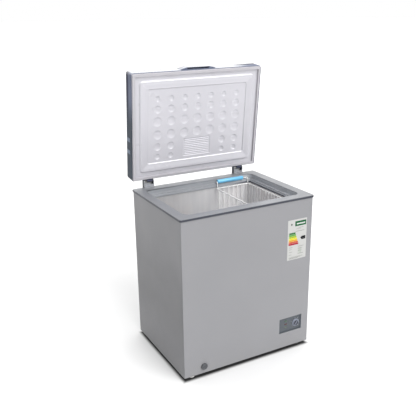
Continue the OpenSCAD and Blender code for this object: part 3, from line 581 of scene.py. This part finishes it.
def zinc(name, colour):
    """Zinc-plated steel: brushed, with slight stains."""
    s = Surface(name, metal=1.0)
    brush = s.noise(260, 4, vector=s.stretched(0.08, 1.0, 1.0))
    stain = s.ramp(s.noise(50, 5), [(0.5, 0.0), (0.8, 0.35)])
    base = s.ramp(brush, [(0.3, colour), (0.7, shade(colour, 1.12))])
    return s.done(s.mix(stain, base, shade(colour, 0.6)), s.ramp(brush, [(0.3, 0.26), (0.7, 0.42)]),
                  s.bump(brush, 0.02))


def hinge_steel(name, bright, dark, radius=0.0):
    """Plated steel: with a radius, bright round the pin and darker farther out; without, bright on its web
    with painted shade on its side cheeks.
    """
    s = Surface(name, metal=1.0)
    brush = s.noise(420, 4, vector=s.stretched(1.0, 1.0, 0.04))
    if radius:
        across, height = from_pin(s)
        reach = s.math("SQRT", s.math("ADD", s.times(across, across), s.times(height, height)))
        far = s.along(reach, [(0.92 * radius, 0.0), (1.12 * radius, 1.0)])
    else:
        # Painted shade: faces turned sideways, the bracket's cheeks, take the dark colour.
        far = s.ramp(s.math("ABSOLUTE", s.facing("X")), [(0.5, 0.0), (0.8, 1.0)])
    lined = s.ramp(brush, [(0.3, shade(bright, 0.7)), (0.7, bright)])
    return s.done(s.mix(far, lined, dark), s.ramp(brush, [(0.3, 0.3), (0.7, 0.45)]), s.bump(brush, 0.15))


def copper(name):
    """Drawn copper tube, tarnished in patches."""
    s = Surface(name, metal=1.0)
    base = s.ramp(s.noise(60, 5), [(0.3, srgb(120, 72, 48)), (0.7, srgb(196, 124, 88))])
    return s.done(base, (0.28, 0.5, 40), (400, 0.03))


def foam(name):
    """Cut polyurethane foam: cream, full of small cells."""
    s = Surface(name, rough=0.9)
    cells = s.cells(260).outputs["Distance"]
    base = s.ramp(cells, [(0.1, srgb(190, 168, 120)), (0.5, srgb(232, 216, 176))])
    return s.done(base, relief=s.bump(cells, 0.6))


def paper(name, colour):
    """Coated label paper."""
    s = Surface(name, coat=0.2)
    return s.done(s.tint(colour, 0.02, 60), (0.35, 0.5, 40), s.bump(s.noise(900, 3), 0.01))


def ink(name, colour):
    """Print on the label: slightly uneven coverage."""
    s = Surface(name, spec=0.15)
    return s.done(s.tint(srgb(*colour), 0.08, 160, 5), (0.35, 0.5, 50))


def lens(name, colour, glow):
    """Tinted indicator lens: ribbed inside, faintly lit."""
    s = Surface(name, rough=0.22, coat=0.5)
    ribs = s.math("SINE", s.times(s.axis("X"), 5200.0))
    lit = srgb(*colour)
    s.set("Emission Color", lit)
    s.set("Emission Strength", glow)
    return s.done(s.ramp(ribs, [(0.2, shade(lit, 0.6)), (0.8, lit)]), relief=s.bump(ribs, 0.04))


def pale_floor(name):
    """Pale studio paper, in deep shade right under the cabinet."""
    s = Surface(name, rough=0.85)
    grey = s.ramp(s.noise(1.5, 3), [(0.3, 0.75), (0.7, 0.78)])
    across = s.math("SUBTRACT", s.math("ABSOLUTE", s.axis("X")), HALF_W)
    along = s.math("SUBTRACT", s.math("ABSOLUTE", s.math("SUBTRACT", s.axis("Y"), MID_Y)), HALF_D)
    under = s.along(s.math("MAXIMUM", across, along), [(-10 * MM, 1.0), (14 * MM, 0.0)], True)
    return s.done(s.mix(under, grey, (0.03, 0.03, 0.03, 1)))


SILVER = painted_steel("silver_paint", srgb(132, 132, 135), shade_left_side=True)
ZINC_SHEET = galvanised("galvanised")
# Its second colour is painted light for the rim's inner steps.
RIM_PLASTIC = rim_plastic("frame_plastic", srgb(129, 131, 136), srgb(152, 155, 160))
SKIRT_PLASTIC = moulded("trim_plastic", srgb(48, 51, 62), (0.4, 0.5))
LINER = liner_metal("liner_aluminium")
# Its last colour is a painted reflection on the lid's lower part.
LID_PLASTIC = lid_plastic("slate_plastic", srgb(16, 22, 52), srgb(94, 101, 122), srgb(48, 58, 70))
# Its second colour is painted light on the hinge covers' front faces.
COVER_PLASTIC = face_lit_plastic("cover_plastic", srgb(34, 38, 52), srgb(236, 238, 242), "Y", -1)
LID_SHEET = pressed_sheet("lid_sheet", srgb(189, 188, 194))
# Its second colour is painted shade on the gasket's outer lips.
GASKET = seal_rubber("gasket_rubber", srgb(176, 174, 179), srgb(70, 74, 92))
WIRE = coated_wire("basket_wire")
GRIP = grip_plastic("grip_plastic", srgb(116, 196, 238))
ZINC = zinc("zinc_steel", (0.62, 0.62, 0.60, 1))
LEAF_STEEL = hinge_steel("leaf_steel", (0.13, 0.14, 0.21, 1), (0.06, 0.07, 0.11, 1), 0.0095)
# Its dark colour is painted shade on the bracket's side cheeks.
BRACKET_STEEL = hinge_steel("bracket_steel", (0.74, 0.76, 0.80, 1), (0.035, 0.04, 0.06, 1))
# Its second colour is painted light on the recess walls that face left.
PANEL = face_lit_plastic("panel_plastic", srgb(77, 82, 88), srgb(128, 134, 142), "X", -1, (0.28, 0.4))
KNOB = moulded("knob_plastic", srgb(120, 125, 138), (0.25, 0.36), 0.012)
KNOB_DARK = moulded("knob_dark", srgb(46, 48, 60), (0.25, 0.36), 0.012)
DRAIN = moulded("drain_plastic", srgb(76, 78, 82), (0.4, 0.52))
FOOT = foot_plastic("foot_plastic", srgb(254, 253, 250), srgb(40, 41, 44))
BLACK_PAINT = painted_steel("black_paint", srgb(26, 26, 28), (0.3, 0.42))
BLACK_PLASTIC = moulded("black_plastic", srgb(30, 30, 32))
BLACK_RUBBER = soft_rubber("black_rubber", srgb(28, 28, 28), 0.1)
GRILLE = moulded("grille_plastic", srgb(150, 152, 156))
WHITE_PLASTIC = moulded("white_plastic", srgb(226, 226, 228), (0.3, 0.42))
COPPER = copper("copper_tube")
FOAM = foam("foam")
BOARD = moulded("board", srgb(30, 92, 52))
PAPER = paper("label_paper", (0.44, 0.44, 0.43, 1))
# Pale patches for the lid's left side: painted reflection.
PAINTED_REFLECTION = soft_rubber("painted_reflection_rubber", srgb(108, 120, 136))


# ---------- cabinet ----------

def rim_corner(u):
    """The rim's corner radius in mm at an inset of u mm: tight outside, wide within."""
    return 4 - u if u < 10 else 75 - u


def build_rim():
    """The stepped plastic rim and the dark skirt under its outer edge."""
    profile = fillet(
        [(-4, -2.5), (-4, 0), (46, 0), (46, -24), (58, -24), (58, -33), (63, -33), (63, -42),
         (60, -42), (60, -36), (55, -36), (55, -27), (43, -27), (43, -2.5)],
        [0.6, 1.8, 4, 1.5, 1.5, 1.5, 1.2, 1, 0, 0, 0, 0, 0, 0])
    bm = frame_sweep(profile, HALF_W * 2, HALF_D * 2, (0, MID_Y), RIM_Z, rim_corner)
    weigh_normals(piece("rim_frame", bm, "cabinet", RIM_PLASTIC, ["top_frame"]))
    profile = fillet([(-4, -12), (-4, -2.5), (0, -2.5), (0, -12)], [1, 0, 0, 0.5])
    bm = frame_sweep(profile, HALF_W * 2, HALF_D * 2, (0, MID_Y), RIM_Z, rim_corner)
    piece("rim_skirt", bm, "cabinet", SKIRT_PLASTIC, ["frame_edge_trim"])


def build_feet():
    """Ribbed, slightly tapered glides."""
    for i, (sx, sy) in enumerate(((-1, -1), (1, -1), (1, 1), (-1, 1))):
        bm = bmesh.new()
        place = Matrix.Translation((sx * 305 * MM, MID_Y + sy * 236 * MM, 0))
        lathe(bm, [(6, 0), (13, 0), (14.6, 0.8), (15.2, 3.6), (16.6, 4.4), (17, 5.2), (17, 17.2),
                   (16.2, 18), (2.6, 18), (2.6, 8), (6, 8)], place)
        for turned in spin(16, place):
            add_slab(bm, (16.4, -0.9, 5.8), (17.7, 0.9, 16.4), 0.5, turned)
        piece(f"foot_{i}", bm, "cabinet", FOOT, ["feet"] if i == 0 else ())


# ---------- front: label, panel, drain ----------

def bar(x0, x1, v0, v1):
    """The outline of an upright rectangle."""
    return [(x0, v0), (x1, v0), (x1, v1), (x0, v1)]


def printed(bm, place, points, height, index):
    """A patch of print: an outline in mm, from 0.05 mm under its face to height mm over it."""
    first = len(bm.faces)
    stitch(bm, [[place @ (Vector((x, v, h)) * MM) for x, v in points] for h in (-0.05, height)],
           closed=False, capped=True)
    bm.faces.ensure_lookup_table()
    for f in bm.faces[first:]:
        f.material_index = index


def build_label():
    """Generic comparison label: a green block, seven coloured bars, an arrow tag and grey rules."""
    colours = {"white": (204, 206, 204), "green": (14, 84, 46), "b0": (48, 100, 52),
               "b1": (84, 146, 62), "b2": (150, 170, 34), "b3": (206, 196, 36),
               "b4": (200, 146, 36), "b5": (186, 78, 52), "b6": (150, 36, 56), "black": (10, 10, 16),
               "rule": (112, 116, 110), "pale": (170, 174, 168), "emblem": (52, 66, 54)}
    lo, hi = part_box("energy_label")
    down = Matrix(((1, 0, 0), (0, 0, -1), (0, -1, 0))).to_4x4()
    place = Matrix.Translation((lo.x, lo.y, hi.z)) @ down
    bm = bmesh.new()

    def shape(points, name, level=0):
        printed(bm, place, points, 0.10 + 0.08 * level, list(colours).index(name))

    shape(bar(42, 107, 9.5, 34.5), "green")
    shape(bar(51, 101, 19.8, 26.2), "white", 1)
    for i in range(6):
        shape(bar(55 + i * 7.6, 57.4 + i * 7.6, 21.6, 24.4), "green", 2)
    star = [(math.pi * k / 7, 1 if k % 2 else 0.66) for k in range(14)]
    shape([(21.7 + 5 * r * math.cos(a), 23 + 6.4 * r * math.sin(a)) for a, r in star], "emblem")
    for x0, x1, v, thick in ((62, 92, 43, 1.4), (48, 78, 48, 1.4), (45, 97, 60, 2.0)):
        shape(bar(x0, x1, v, v + thick), "rule")
    for i in range(7):
        x0, x1, v = 7.5 - i * 0.3, 47 + i * 3.2, 65 + i * 9.3
        shape([(x0, v), (x1 - 4, v), (x1, v + 4.2), (x1 - 4, v + 8.4), (x0, v + 8.4)], f"b{i}")
        shape(bar(x0 + 1.5, x0 + 3.5, v + 3, v + 5.4), "white", 1)
    shape([(75, 99), (83, 90.5), (105, 90.5), (105, 107.5), (83, 107.5)], "black")
    shape(bar(91, 92.2, 97.4, 100.6), "white", 1)
    for i, v in enumerate((140, 150, 163, 178)):
        shape(bar(10, 30 - i % 2 * 5, v, v + 1.6), "rule")
        shape(bar(62, 96 - i % 3 * 6, v, v + 1.6), "rule")
    for patch in (bar(6, 105, 134.5, 135.1), bar(64, 84, 150, 178), bar(6, 105, 188, 188.6)):
        shape(patch, "pale")
    for i in range(3):
        shape(bar(10, 92 - i * 14, 192 + i * 3.4, 193.4 + i * 3.4), "rule")
    mats = [ink("ink_" + k, c) for k, c in colours.items()]
    piece("label_print", bm, "cabinet", mats)


def build_rating_plate():
    """Grey rules and boxes on the plate behind."""
    lo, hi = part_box("rating_plate")
    w, h = (hi.x - lo.x) / MM, (hi.z - lo.z) / MM
    place = Matrix.Translation((lo.x, hi.y, lo.z)) @ Matrix(((1, 0, 0), (0, 0, 1), (0, 1, 0))).to_4x4()
    bm = bmesh.new()
    for i in range(6):
        z = h - 9 - i * 7.6
        printed(bm, place, bar(8, 52 - i % 3 * 8, z - 1.4, z), 0.12, 0)
        printed(bm, place, bar(62, 92 - i % 2 * 10, z - 1.4, z), 0.12, 0)
    for z in (4, h - 4):
        printed(bm, place, bar(4, w - 4, z - 0.3, z + 0.3), 0.12, 1)
    mats = [ink("plate_ink", (96, 98, 100)), ink("plate_box", (170, 172, 174))]
    piece("rating_print", bm, "cabinet", mats)


KNOB_LO, KNOB_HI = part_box("thermostat_knob")
KNOB_X, KNOB_Z = (KNOB_LO.x + KNOB_HI.x) / 2, (KNOB_LO.z + KNOB_HI.z) / 2


def outward(x, z, y=FRONT_Y):
    """Local Z points out of the front face, local Y up."""
    return Matrix.Translation((x, y, z)) @ Matrix(((1, 0, 0), (0, 0, -1), (0, 1, 0))).to_4x4()


def build_ticks():
    """A scale round the knob: nine ticks of growing length."""
    bm = bmesh.new()
    face = outward(KNOB_X, KNOB_Z, FRONT_Y + 6 * MM)
    for k in range(9):
        turn = Matrix.Rotation(math.radians(225 - k * 33.75), 4, "Z")
        add_slab(bm, (23.6, -0.45, -0.05), (25.6 + 0.22 * k, 0.45, 0.18), 0, face @ turn)
    piece("dial_ticks", bm, "cabinet", WHITE_PLASTIC)


def build_knob():
    """A stepped knob: flared skirt with a knurled edge, dished face and a raised pointer bar."""
    depth = (KNOB_HI.y - KNOB_LO.y) / MM
    place = outward(KNOB_X, KNOB_Z, KNOB_HI.y)
    bm = bmesh.new()
    lathe(bm, [(3.1, 0), (20.4, 0), (21, 0.6), (21, 2.6), (20.2, 3.4), (17.6, 4.2), (16.6, depth - 2.2),
               (15.8, depth - 1.1), (14.8, depth - 0.9), (14, depth - 2.4), (3.1, depth - 2.9)], place, 72)
    for turned in spin(36, place):
        add_slab(bm, (16.2, -0.45, 4.4), (17.5, 0.45, depth - 2.4), 0.3, turned)
    piece("knob", bm, "thermostat", KNOB, ["thermostat_knob"])
    bm = bmesh.new()
    lathe(bm, [(0, depth - 2.6), (13.9, depth - 2.1), (13.9, depth - 3.2), (0, depth - 3.4)], place, 64)
    piece("knob_face", bm, "thermostat", KNOB_DARK)
    bm = bmesh.new()
    outline = fillet([(-13.2, -2.1), (13.2, -2.1), (14.2, 0), (13.2, 2.1), (-13.2, 2.1)],
                     [1.6, 1.0, 0.8, 1.0, 1.6])
    sides = [(math.copysign(1, p.x), 0 if abs(p.y) < 0.3 else math.copysign(1, p.y)) for p in outline]
    loops = [[Vector((p.x + grow * a, p.y + grow * b, z)) * MM for p, (a, b) in zip(outline, sides)]
             for grow, z in ((0.3, depth - 2.9), (0.2, depth - 0.8), (0, depth - 0.25), (-0.6, depth))]
    stitch(bm, loops, closed=False, capped=True)
    bm.transform(place @ Matrix.Rotation(math.radians(52), 4, "Z"))
    piece("knob_pointer", bm, "thermostat", KNOB)


def build_lenses():
    """Three domed lenses, each in a raised surround."""
    lights = (("green", (70, 98, 76), 0.01), ("red", (84, 46, 44), 0.03), ("pale", (98, 112, 100), 0.01))
    lo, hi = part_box("indicator_lenses")
    for k, (name, colour, glow) in enumerate(lights):
        place = outward((lo.x + hi.x) / 2, (lo.z + hi.z) / 2 + (1 - k) * 17 * MM, lo.y + 1.2 * MM)
        for label, w, h, low, high, mat, slot in (
                ("lens", 14, 8, -2.4, 1.2, lens("lens_" + name, colour, glow), "lens_plastic"),
                ("surround", 17, 11, -1.0, 0.5, KNOB_DARK, "panel_plastic")):
            is_lens = label == "lens"
            steps = [(0, low, 1.6), (0, high - 0.6, 1.6), (0.3, high - 0.2, 1.3), (0.9, high, 0.7)]
            if not is_lens:
                steps += [(1.3, high, 1.0), (1.45, high - 0.3, 1.0), (1.45, low, 1.0)]
            loops = [[Vector((a, b, level)) * MM
                      for a, b in rounded_rect(w - 2 * inset, h - 2 * inset, r, 4)]
                     for inset, level, r in steps]
            bm = bmesh.new()
            stitch(bm, loops, closed=not is_lens, capped=is_lens)
            bm.transform(place)
            replaced = ["indicator_lenses"] if is_lens and k == 0 else ()
            piece(f"{label}_{k}", bm, "cabinet", mat, replaced)


def build_drain_cap():
    """A round cap with a rolled rim, a dished face and a pull tab."""
    lo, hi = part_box("drain_cap")
    r = (hi.x - lo.x) / 2 / MM
    out = (FRONT_Y - lo.y) / MM
    place = outward((lo.x + hi.x) / 2, (lo.z + hi.z) / 2)
    bm = bmesh.new()
    lathe(bm, [(0, -6), (6.5, -6), (7.2, -5.2), (7.2, out - 4.6), (r - 1.4, out - 4.6), (r - 0.3, out - 4.0),
               (r, out - 2.6), (r - 0.8, out - 0.8), (r - 2.2, out), (r - 3.6, out - 0.5),
               (r - 4.6, out - 1.9), (0, out - 2.3)], place, 56)
    add_slab(bm, (-4.2, -1.3, out - 2.6), (4.2, 1.3, out - 0.1), 0.6, place)
    piece("drain_cap_face", bm, "drain_cap", DRAIN, ["drain_cap"])


# ---------- lid ----------

LID_MM_W, LID_MM_D = LID_W / MM, LID_D / MM


def ease(t):
    """0 to 1, soft at both ends."""
    t = min(max(t, 0.0), 1.0)
    return t * t * (3 - 2 * t)


def slope(t):
    """A straight ramp from 0 to 1 with small fillets at its ends."""
    return 0.35 * ease(t) + 0.65 * min(max(t, 0.0), 1.0)


def inside(x, v, inset, r):
    """How far in mm a point lies within the lid's outline moved in by inset."""
    qx = abs(x) - (LID_MM_W / 2 - inset - r)
    qy = abs(v - LID_MM_D / 2) - (LID_MM_D / 2 - inset - r)
    return r - math.hypot(max(qx, 0), max(qy, 0)) - min(max(qx, qy), 0)


DIMPLES = [(i * 73.6, v, r) for v, r, first in
           ((403.5, 14, 0), (352.5, 19, 0), (291.5, 23, 0), (225, 23, 0), (163.5, 19, 2), (112.5, 14, 2))
           for i in range(-3, 4) if abs(i) >= first]


def panel_height(x, v):
    """Relief of the lid's inner sheet in mm, outward from the lid's inner face."""
    h = 6.5 * slope(inside(x, v, 38, 22) / 7)
    h -= 5.5 * ease(inside(x, v, 48, 16) / 33) + 4 * slope(inside(x, v, 79.5, 12) / 4)
    for cx, cv, r in DIMPLES:
        if abs(x - cx) < r + 2 and abs(v - cv) < r + 2:
            q = math.hypot(x - cx, v - cv) / r
            h -= 5 * max(0.0, 1 - q * q) ** 0.65
    edge = min(77.5 - abs(x), v - 98, 190 - v)
    if edge > 0:
        h -= 2.2 * ease(edge / 2.2)
        if abs(x) < 72 and 102 < v < 187:
            rib = math.cos(2 * math.pi * (v - 144) / (76 / 8))
            h += 1.8 * ease((rib - 0.1) / 0.7) * ease((72 - abs(x)) / 2.5)
    return h


def spread_marks(stops):
    """Grid lines from (from, to, step) stretches."""
    marks = []
    for a, b, step in stops:
        n = max(1, round((b - a) / step))
        marks += [a + (b - a) * k / n for k in range(n)]
    return marks + [stops[-1][1]]


def build_lid_panel():
    """The inner sheet 2 mm thick, and the foam that fills the lid behind it."""
    half = LID_MM_W / 2
    side = [(3.05, 37, 8), (37, 47, 1.1), (47, 78.5, 4.5), (78.5, 84.5, 1.0)]
    us = spread_marks(side + [(84.5, half, 2.6)])
    xs = [u - half for u in us] + [half - u for u in reversed(us[:-1])]
    vs = spread_marks(side + [(84.5, 97, 2.5), (97, 191, 1.15), (191, LID_MM_D - 84.5, 2.6)])
    vs += [LID_MM_D - u for u in reversed(spread_marks(side)[:-1])]

    def grid(xs, vs, height):
        return [[bm.verts.new((x * MM, LID_BACK - v * MM, LID_LOW + height(x, v) * MM)) for x in xs]
                for v in vs]

    bm = bmesh.new()
    sheets = [grid(xs, vs, lambda x, v: thick - panel_height(x, v)) for thick in (0.0, 2.0)]
    for rows in sheets:
        join_rows(bm, rows)
    join_rings(bm, *(rows[0] + [r[-1] for r in rows[1:]] + rows[-1][-2::-1] + [r[0] for r in rows[-2:0:-1]]
                     for rows in sheets))
    piece("lid_inner_panel", bm, "lid", LID_SHEET, ["lid_liner"], LID_OPEN, 50)
    bm = bmesh.new()
    xs, vs = xs[1:-1:2], vs[1:-1:2]
    rows = grid(xs, vs, lambda x, v: 5.5 - min(panel_height(x, v), 3))
    (a, b), (c, d) = grid((xs[0], xs[-1]), (vs[0], vs[-1]), lambda x, v: 70)
    join_rows(bm, rows)
    for face in ([a, b, d, c], rows[0] + [b, a], rows[-1] + [d, c],
                 [r[0] for r in rows] + [c, a], [r[-1] for r in rows] + [d, b]):
        bm.faces.new(face)
    piece("lid_foam_fill", bm, "lid", FOAM, ["lid_foam"], LID_OPEN, 50)


def build_lid_band():
    """The band round the lid's sides, and two pale patches on its left side as painted reflections."""
    profile = fillet([(3, 0), (0, 0), (0, 74), (20, 74), (20, 71), (3, 71)],
                     [0.5, 1.2, 14, 0.8, 0.6, 11], steps=8)
    bm = frame_sweep(profile, LID_W, LID_D, (0, LID_MID), LID_LOW, lambda u: max(10 - u, 1))
    weigh_normals(piece("lid_band", bm, "lid", LID_PLASTIC, ["lid_frame"], LID_OPEN))
    # Painted reflection: two pale patches on the lid's left side.
    bm = bmesh.new()
    corner = Matrix.Translation((-LID_W / 2, LID_BACK, LID_LOW))
    for v in (206, 145):
        add_slab(bm, (-0.7, -v - 10, 22), (0.6, 10 - v, 60), 0.5, corner)
    piece("painted_reflection_patches", bm, "lid", PAINTED_REFLECTION, place=LID_OPEN)


def build_gasket():
    """A bellows seal round the lid's inner sheet."""
    profile = [(4, 0), (4.6, -2), (5.5, -3.2), (4.3, -4.8), (4.2, -8.6), (5, -10), (17, -10),
               (17.8, -8.6), (17.7, -4.8), (16.5, -3.2), (17.4, -2), (18, 0)]
    bm = frame_sweep(profile, LID_W, LID_D, (0, LID_MID), LID_LOW, lambda u: max(10 - u, 1))
    piece("gasket", bm, "lid", GASKET, ["lid_gasket"], LID_OPEN)


# ---------- basket ----------

BASKET_X = 185 * MM
# In mm, from the basket's middle in plan and from the floor upward.
RING_X, RING_Y = 100, 198.5
RING_ZS = (758, 638, 558)
WIRE_TOP = 759.5
HANDLE_X, HANDLE_Y, HANDLE_Z = 94, 209.5, 790.8
GRIP_R = 9.5
GRIP_SEAT = 781.0


def wire(bm, points, radius, bend, closed=False):
    """A wire of radius mm through points in mm, its bends rounded."""
    path = fillet([Vector((BASKET_X + x * MM, MID_Y + y * MM, z * MM)) for x, y, z in points],
                  bend * MM, closed, 5)
    sweep(bm, path, radius * MM, closed, 12 if radius > 2 else 10)


def build_basket():
    """Thick rings and handles, thin hoops both ways, and a grip on each handle."""
    bm = bmesh.new()
    for z in RING_ZS:
        wire(bm, [(-RING_X, -RING_Y, z), (RING_X, -RING_Y, z), (RING_X, RING_Y, z), (-RING_X, RING_Y, z)],
             2.5, 8, True)
    for s in (-1, 1):
        half = [(HANDLE_X, s * HANDLE_Y, HANDLE_Z), (HANDLE_X, s * RING_Y, HANDLE_Z),
                (HANDLE_X, s * RING_Y, RING_ZS[0] - 1)]
        wire(bm, [(-x, y, z) for x, y, z in reversed(half)] + half, 2.5, 5)
    piece("basket_rings", bm, "basket", WIRE, ["basket_frame"])
    bm = bmesh.new()
    for i in range(15):
        y = (2 * i / 14 - 1) * 182.48
        wire(bm, [(-95.98, y, WIRE_TOP), (-95.98, y, 558), (95.98, y, 558), (95.98, y, WIRE_TOP)], 1.5, 5)
    for i in range(7):
        x = (2 * i / 6 - 1) * 83.98
        wire(bm, [(x, -194.48, WIRE_TOP), (x, -194.48, 555), (x, 194.48, 555), (x, 194.48, WIRE_TOP)], 1.5, 5)
    piece("basket_wires", bm, "basket", WIRE,
          ["basket_side_wires", "basket_floor_wires"])
    lo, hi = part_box("basket_grips")
    long = (hi.x - lo.x) / MM
    ends = [(2.6, 0), (7.4, 0), (8.9, 0.8), (GRIP_R, 2.4)]
    for s, name, swell in ((-1, "front", 0.86), (1, "rear", 1.12)):
        bm = bmesh.new()
        lathe(bm, ends + [(r, long - x) for r, x in reversed(ends)], steps=40)
        seat = (lo.x, MID_Y + s * HANDLE_Y * MM, (GRIP_SEAT + GRIP_R * swell) * MM)
        bm.transform(Matrix.Translation(seat) @ Matrix.Rotation(math.pi / 2, 4, "Y")
                     @ Matrix.Diagonal((swell, 1, 1, 1)))
        piece("grip_" + name, bm, "basket", GRIP, ["basket_grips"] if s < 0 else ())


# ---------- screws with a cross recess ----------

def cross_screw(bm, spot, twist, r, h):
    """A pan head of radius r and height h mm, facing the back, its recess turned by twist degrees."""
    head = bmesh.new()
    a, b = r * 0.52, r * 0.13
    ring = [(a, -b), (a, b), (b, b)]
    for _ in range(3):
        ring += [(-y, x) for x, y in ring[-3:]]
    n = len(ring)
    steps = 4 * n
    top = [head.verts.new(Vector((x, y, h)) * MM) for x, y in ring]
    low = [head.verts.new(Vector((x * 0.7, y * 0.7, h * 0.35)) * MM) for x, y in ring]
    join_rings(head, top, low)
    head.faces.new(low)
    rings = [[head.verts.new(p * MM) for p in circle(wide * r, high * h, steps)]
             for wide, high in ((0.62, 1), (0.82, 0.93), (0.95, 0.7), (1.0, 0.35), (1.0, 0))]
    places = [round(math.atan2(y, x) / (2 * math.pi) * steps) for x, y in ring]
    for k in range(n):
        m = (k + 1) % n
        last = places[m] + (steps if places[m] < places[k] else 0)
        arc = [rings[0][j % steps] for j in range(places[k], last + 1)]
        head.faces.new([top[m], top[k]] + arc)
    for one, two in zip(rings, rings[1:]):
        join_rings(head, one, two)
    head.faces.new(rings[-1])
    head.transform(Matrix.Translation(spot) @ Matrix(((-1, 0, 0), (0, 0, 1), (0, 1, 0))).to_4x4()
                   @ Matrix.Rotation(math.radians(twist % 90), 4, "Z"))
    merge(bm, head)


def build_screws():
    """The pan-head screws of the rear cover and of the hinge leaves."""
    y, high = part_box("rear_cover")[1].y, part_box("rear_cover_screws")[1].y
    bm = bmesh.new()
    for x in (190, 330):
        for z in (58, 144, 230):
            cross_screw(bm, (x * MM, y, z * MM), x * 7 + z * 3, 3.5, (high - y) / MM)
    piece("cover_screws", bm, "cabinet", ZINC, ["rear_cover_screws"])
    bm = bmesh.new()
    for side in (-1, 1):
        for dx, dz in ((-14, 9.5), (14, 9.5), (-14, 26), (14, 26)):
            spot = PIN + Vector((side * 264 + dx, -12, dz)) * MM
            cross_screw(bm, spot, dx * 11 + dz * 5, 3.4, 1.7)
    piece("leaf_screws", bm, "lid", ZINC, ["hinge_leaf_screws"], LID_OPEN)


# ---------- the whole ----------

DOME_LIGHT = 2.0
BACK_LIGHT = 1.9
WALL_LIGHT = 0.06
BACK_WALL = (0.35, 0.94, 0)
KEY_LIGHT = 2.6
KEY_FROM = Vector((0.24, -1.0, 0.78))
KEY_SPREAD = 50
CAMERA_PLACE = (-1.4061, -2.4711, 1.6587)
CAMERA_TURN = (28.6125, 18.3794, -0.6693)  # to the right, down and rolled, in degrees
CAMERA_LENS = 52.06


def dress_cad():
    """Materials, and soft edges of some mm where they show, for the CAD nodes that stay."""
    for material, edge, nodes in (
            (SILVER, 0, "outer_wrap lid_skin"), (LINER, 0, "inner_liner"), (FOAM, 0, "cabinet_foam"),
            (ZINC_SHEET, 0, "back_panel base_pan machine_room_panel rear_cover"),
            (ZINC_SHEET, 0.5, "compressor_tray"),
            (COPPER, 0, "evaporator_coil condenser_coil filter_drier suction_tube discharge_tube"),
            (COPPER, 0, "capillary_tube thermostat_sensing_tube"),
            (ZINC, 0, "foot_screws hinge_bracket_screws hinge_pins hinge_springs lid_handle_screws"),
            (ZINC, 0.3, "compressor_bolts thermostat_shaft"), (ZINC, 0.5, "thermostat_body"),
            (BLACK_PAINT, 0.6, "compressor_base_plate"), (BLACK_PAINT, 0, "compressor_shell"),
            (BLACK_PLASTIC, 0.8, "start_relay relay_cover"), (BLACK_RUBBER, 0.6, "compressor_grommets"),
            (BLACK_RUBBER, 0.5, "cord_gland"), (GRILLE, 0.6, "side_vent_grille"),
            (PANEL, 1.0, "control_bezel"), (BOARD, 0, "indicator_lamps"),
            (WHITE_PLASTIC, 0, "drain_tube"), (WHITE_PLASTIC, 0.8, "terminal_block"),
            (DRAIN, 0.5, "drain_collar"), (DRAIN, 0.6, "drain_plug"),
            (BRACKET_STEEL, 0, "hinge_brackets"), (LEAF_STEEL, 0.5, "hinge_leaves"),
            (COVER_PLASTIC, 1.2, "hinge_covers"), (LID_PLASTIC, 1.6, "lid_handle"),
            (PAPER, 0, "energy_label rating_plate")):
        for node in nodes.split():
            dress(node, material, edge)


def shade_lights():
    """A bright dome, a white horizon, a bright wall behind, dim walls elsewhere and a soft key."""
    world = bpy.data.worlds.new("studio")
    scene.world = world
    world.use_nodes = True
    n = Nodes(world.node_tree)
    direction = n.node("ShaderNodeTexCoord").outputs["Generated"]
    height = n.part(direction, "Z")
    behind = n.node("ShaderNodeVectorMath", {0: direction, 1: BACK_WALL},
                    operation="DOT_PRODUCT").outputs["Value"]
    dim = WALL_LIGHT / DOME_LIGHT
    walls = n.ramp(behind, [(0.0, dim), (0.3, dim), (0.8, BACK_LIGHT / DOME_LIGHT)])
    ends = n.ramp(height, [(0.12, 1 / DOME_LIGHT), (0.7, 1.0)])
    walled = n.ramp(height, [(0.1, 0.0), (0.15, 1.0), (0.6, 1.0), (0.85, 0.0)])
    background = n.tree.nodes["Background"]
    n.feed(background, "Color", n.mix(walled, ends, walls))
    n.feed(background, "Strength", DOME_LIGHT)
    data = bpy.data.lights.new("key", "SUN")
    data.energy = KEY_LIGHT
    data.angle = math.radians(KEY_SPREAD)
    lamp = bpy.data.objects.new("key", data)
    scene.collection.objects.link(lamp)
    lamp.rotation_euler = KEY_FROM.to_track_quat("Z", "Y").to_euler()


def lay_floor():
    """A flat sheet of rings, far larger than the freezer and just under its feet."""
    bm = bmesh.new()
    radii = (0.4, 0.8, 1.4, 2.2, 3.5, 6, 12, 24, 48, 90)
    rings = stitch(bm, [circle(r, 0, 64) for r in radii], closed=False)
    bm.faces.new(rings[0])
    mesh = bpy.data.meshes.new("floor")
    bm.to_mesh(mesh)
    bm.free()
    mesh.materials.append(pale_floor("floor_paper"))
    floor = bpy.data.objects.new("floor", mesh)
    floor.location.z = -0.5 * MM
    scene.collection.objects.link(floor)


def place_camera():
    """The studio camera, level with the lid's handle and to the left of the freezer."""
    right, down, roll = CAMERA_TURN
    place = Matrix.Translation(CAMERA_PLACE)
    for angle, axis in ((-right, "Z"), (90 - down, "X"), (roll, "Z")):
        place = place @ Matrix.Rotation(math.radians(angle), 4, axis)
    data = bpy.data.cameras.new("camera")
    data.lens = CAMERA_LENS
    data.clip_end = 300
    camera = bpy.data.objects.new("camera", data)
    camera.matrix_world = place
    scene.collection.objects.link(camera)
    scene.camera = camera


for step in (place_camera, dress_cad, build_rim, build_feet, build_label, build_rating_plate, build_ticks,
             build_knob, build_lenses, build_drain_cap, build_lid_panel, build_lid_band, build_gasket,
             build_basket, build_screws, lay_floor, shade_lights):
    step()
scene.view_settings.view_transform = "Standard"
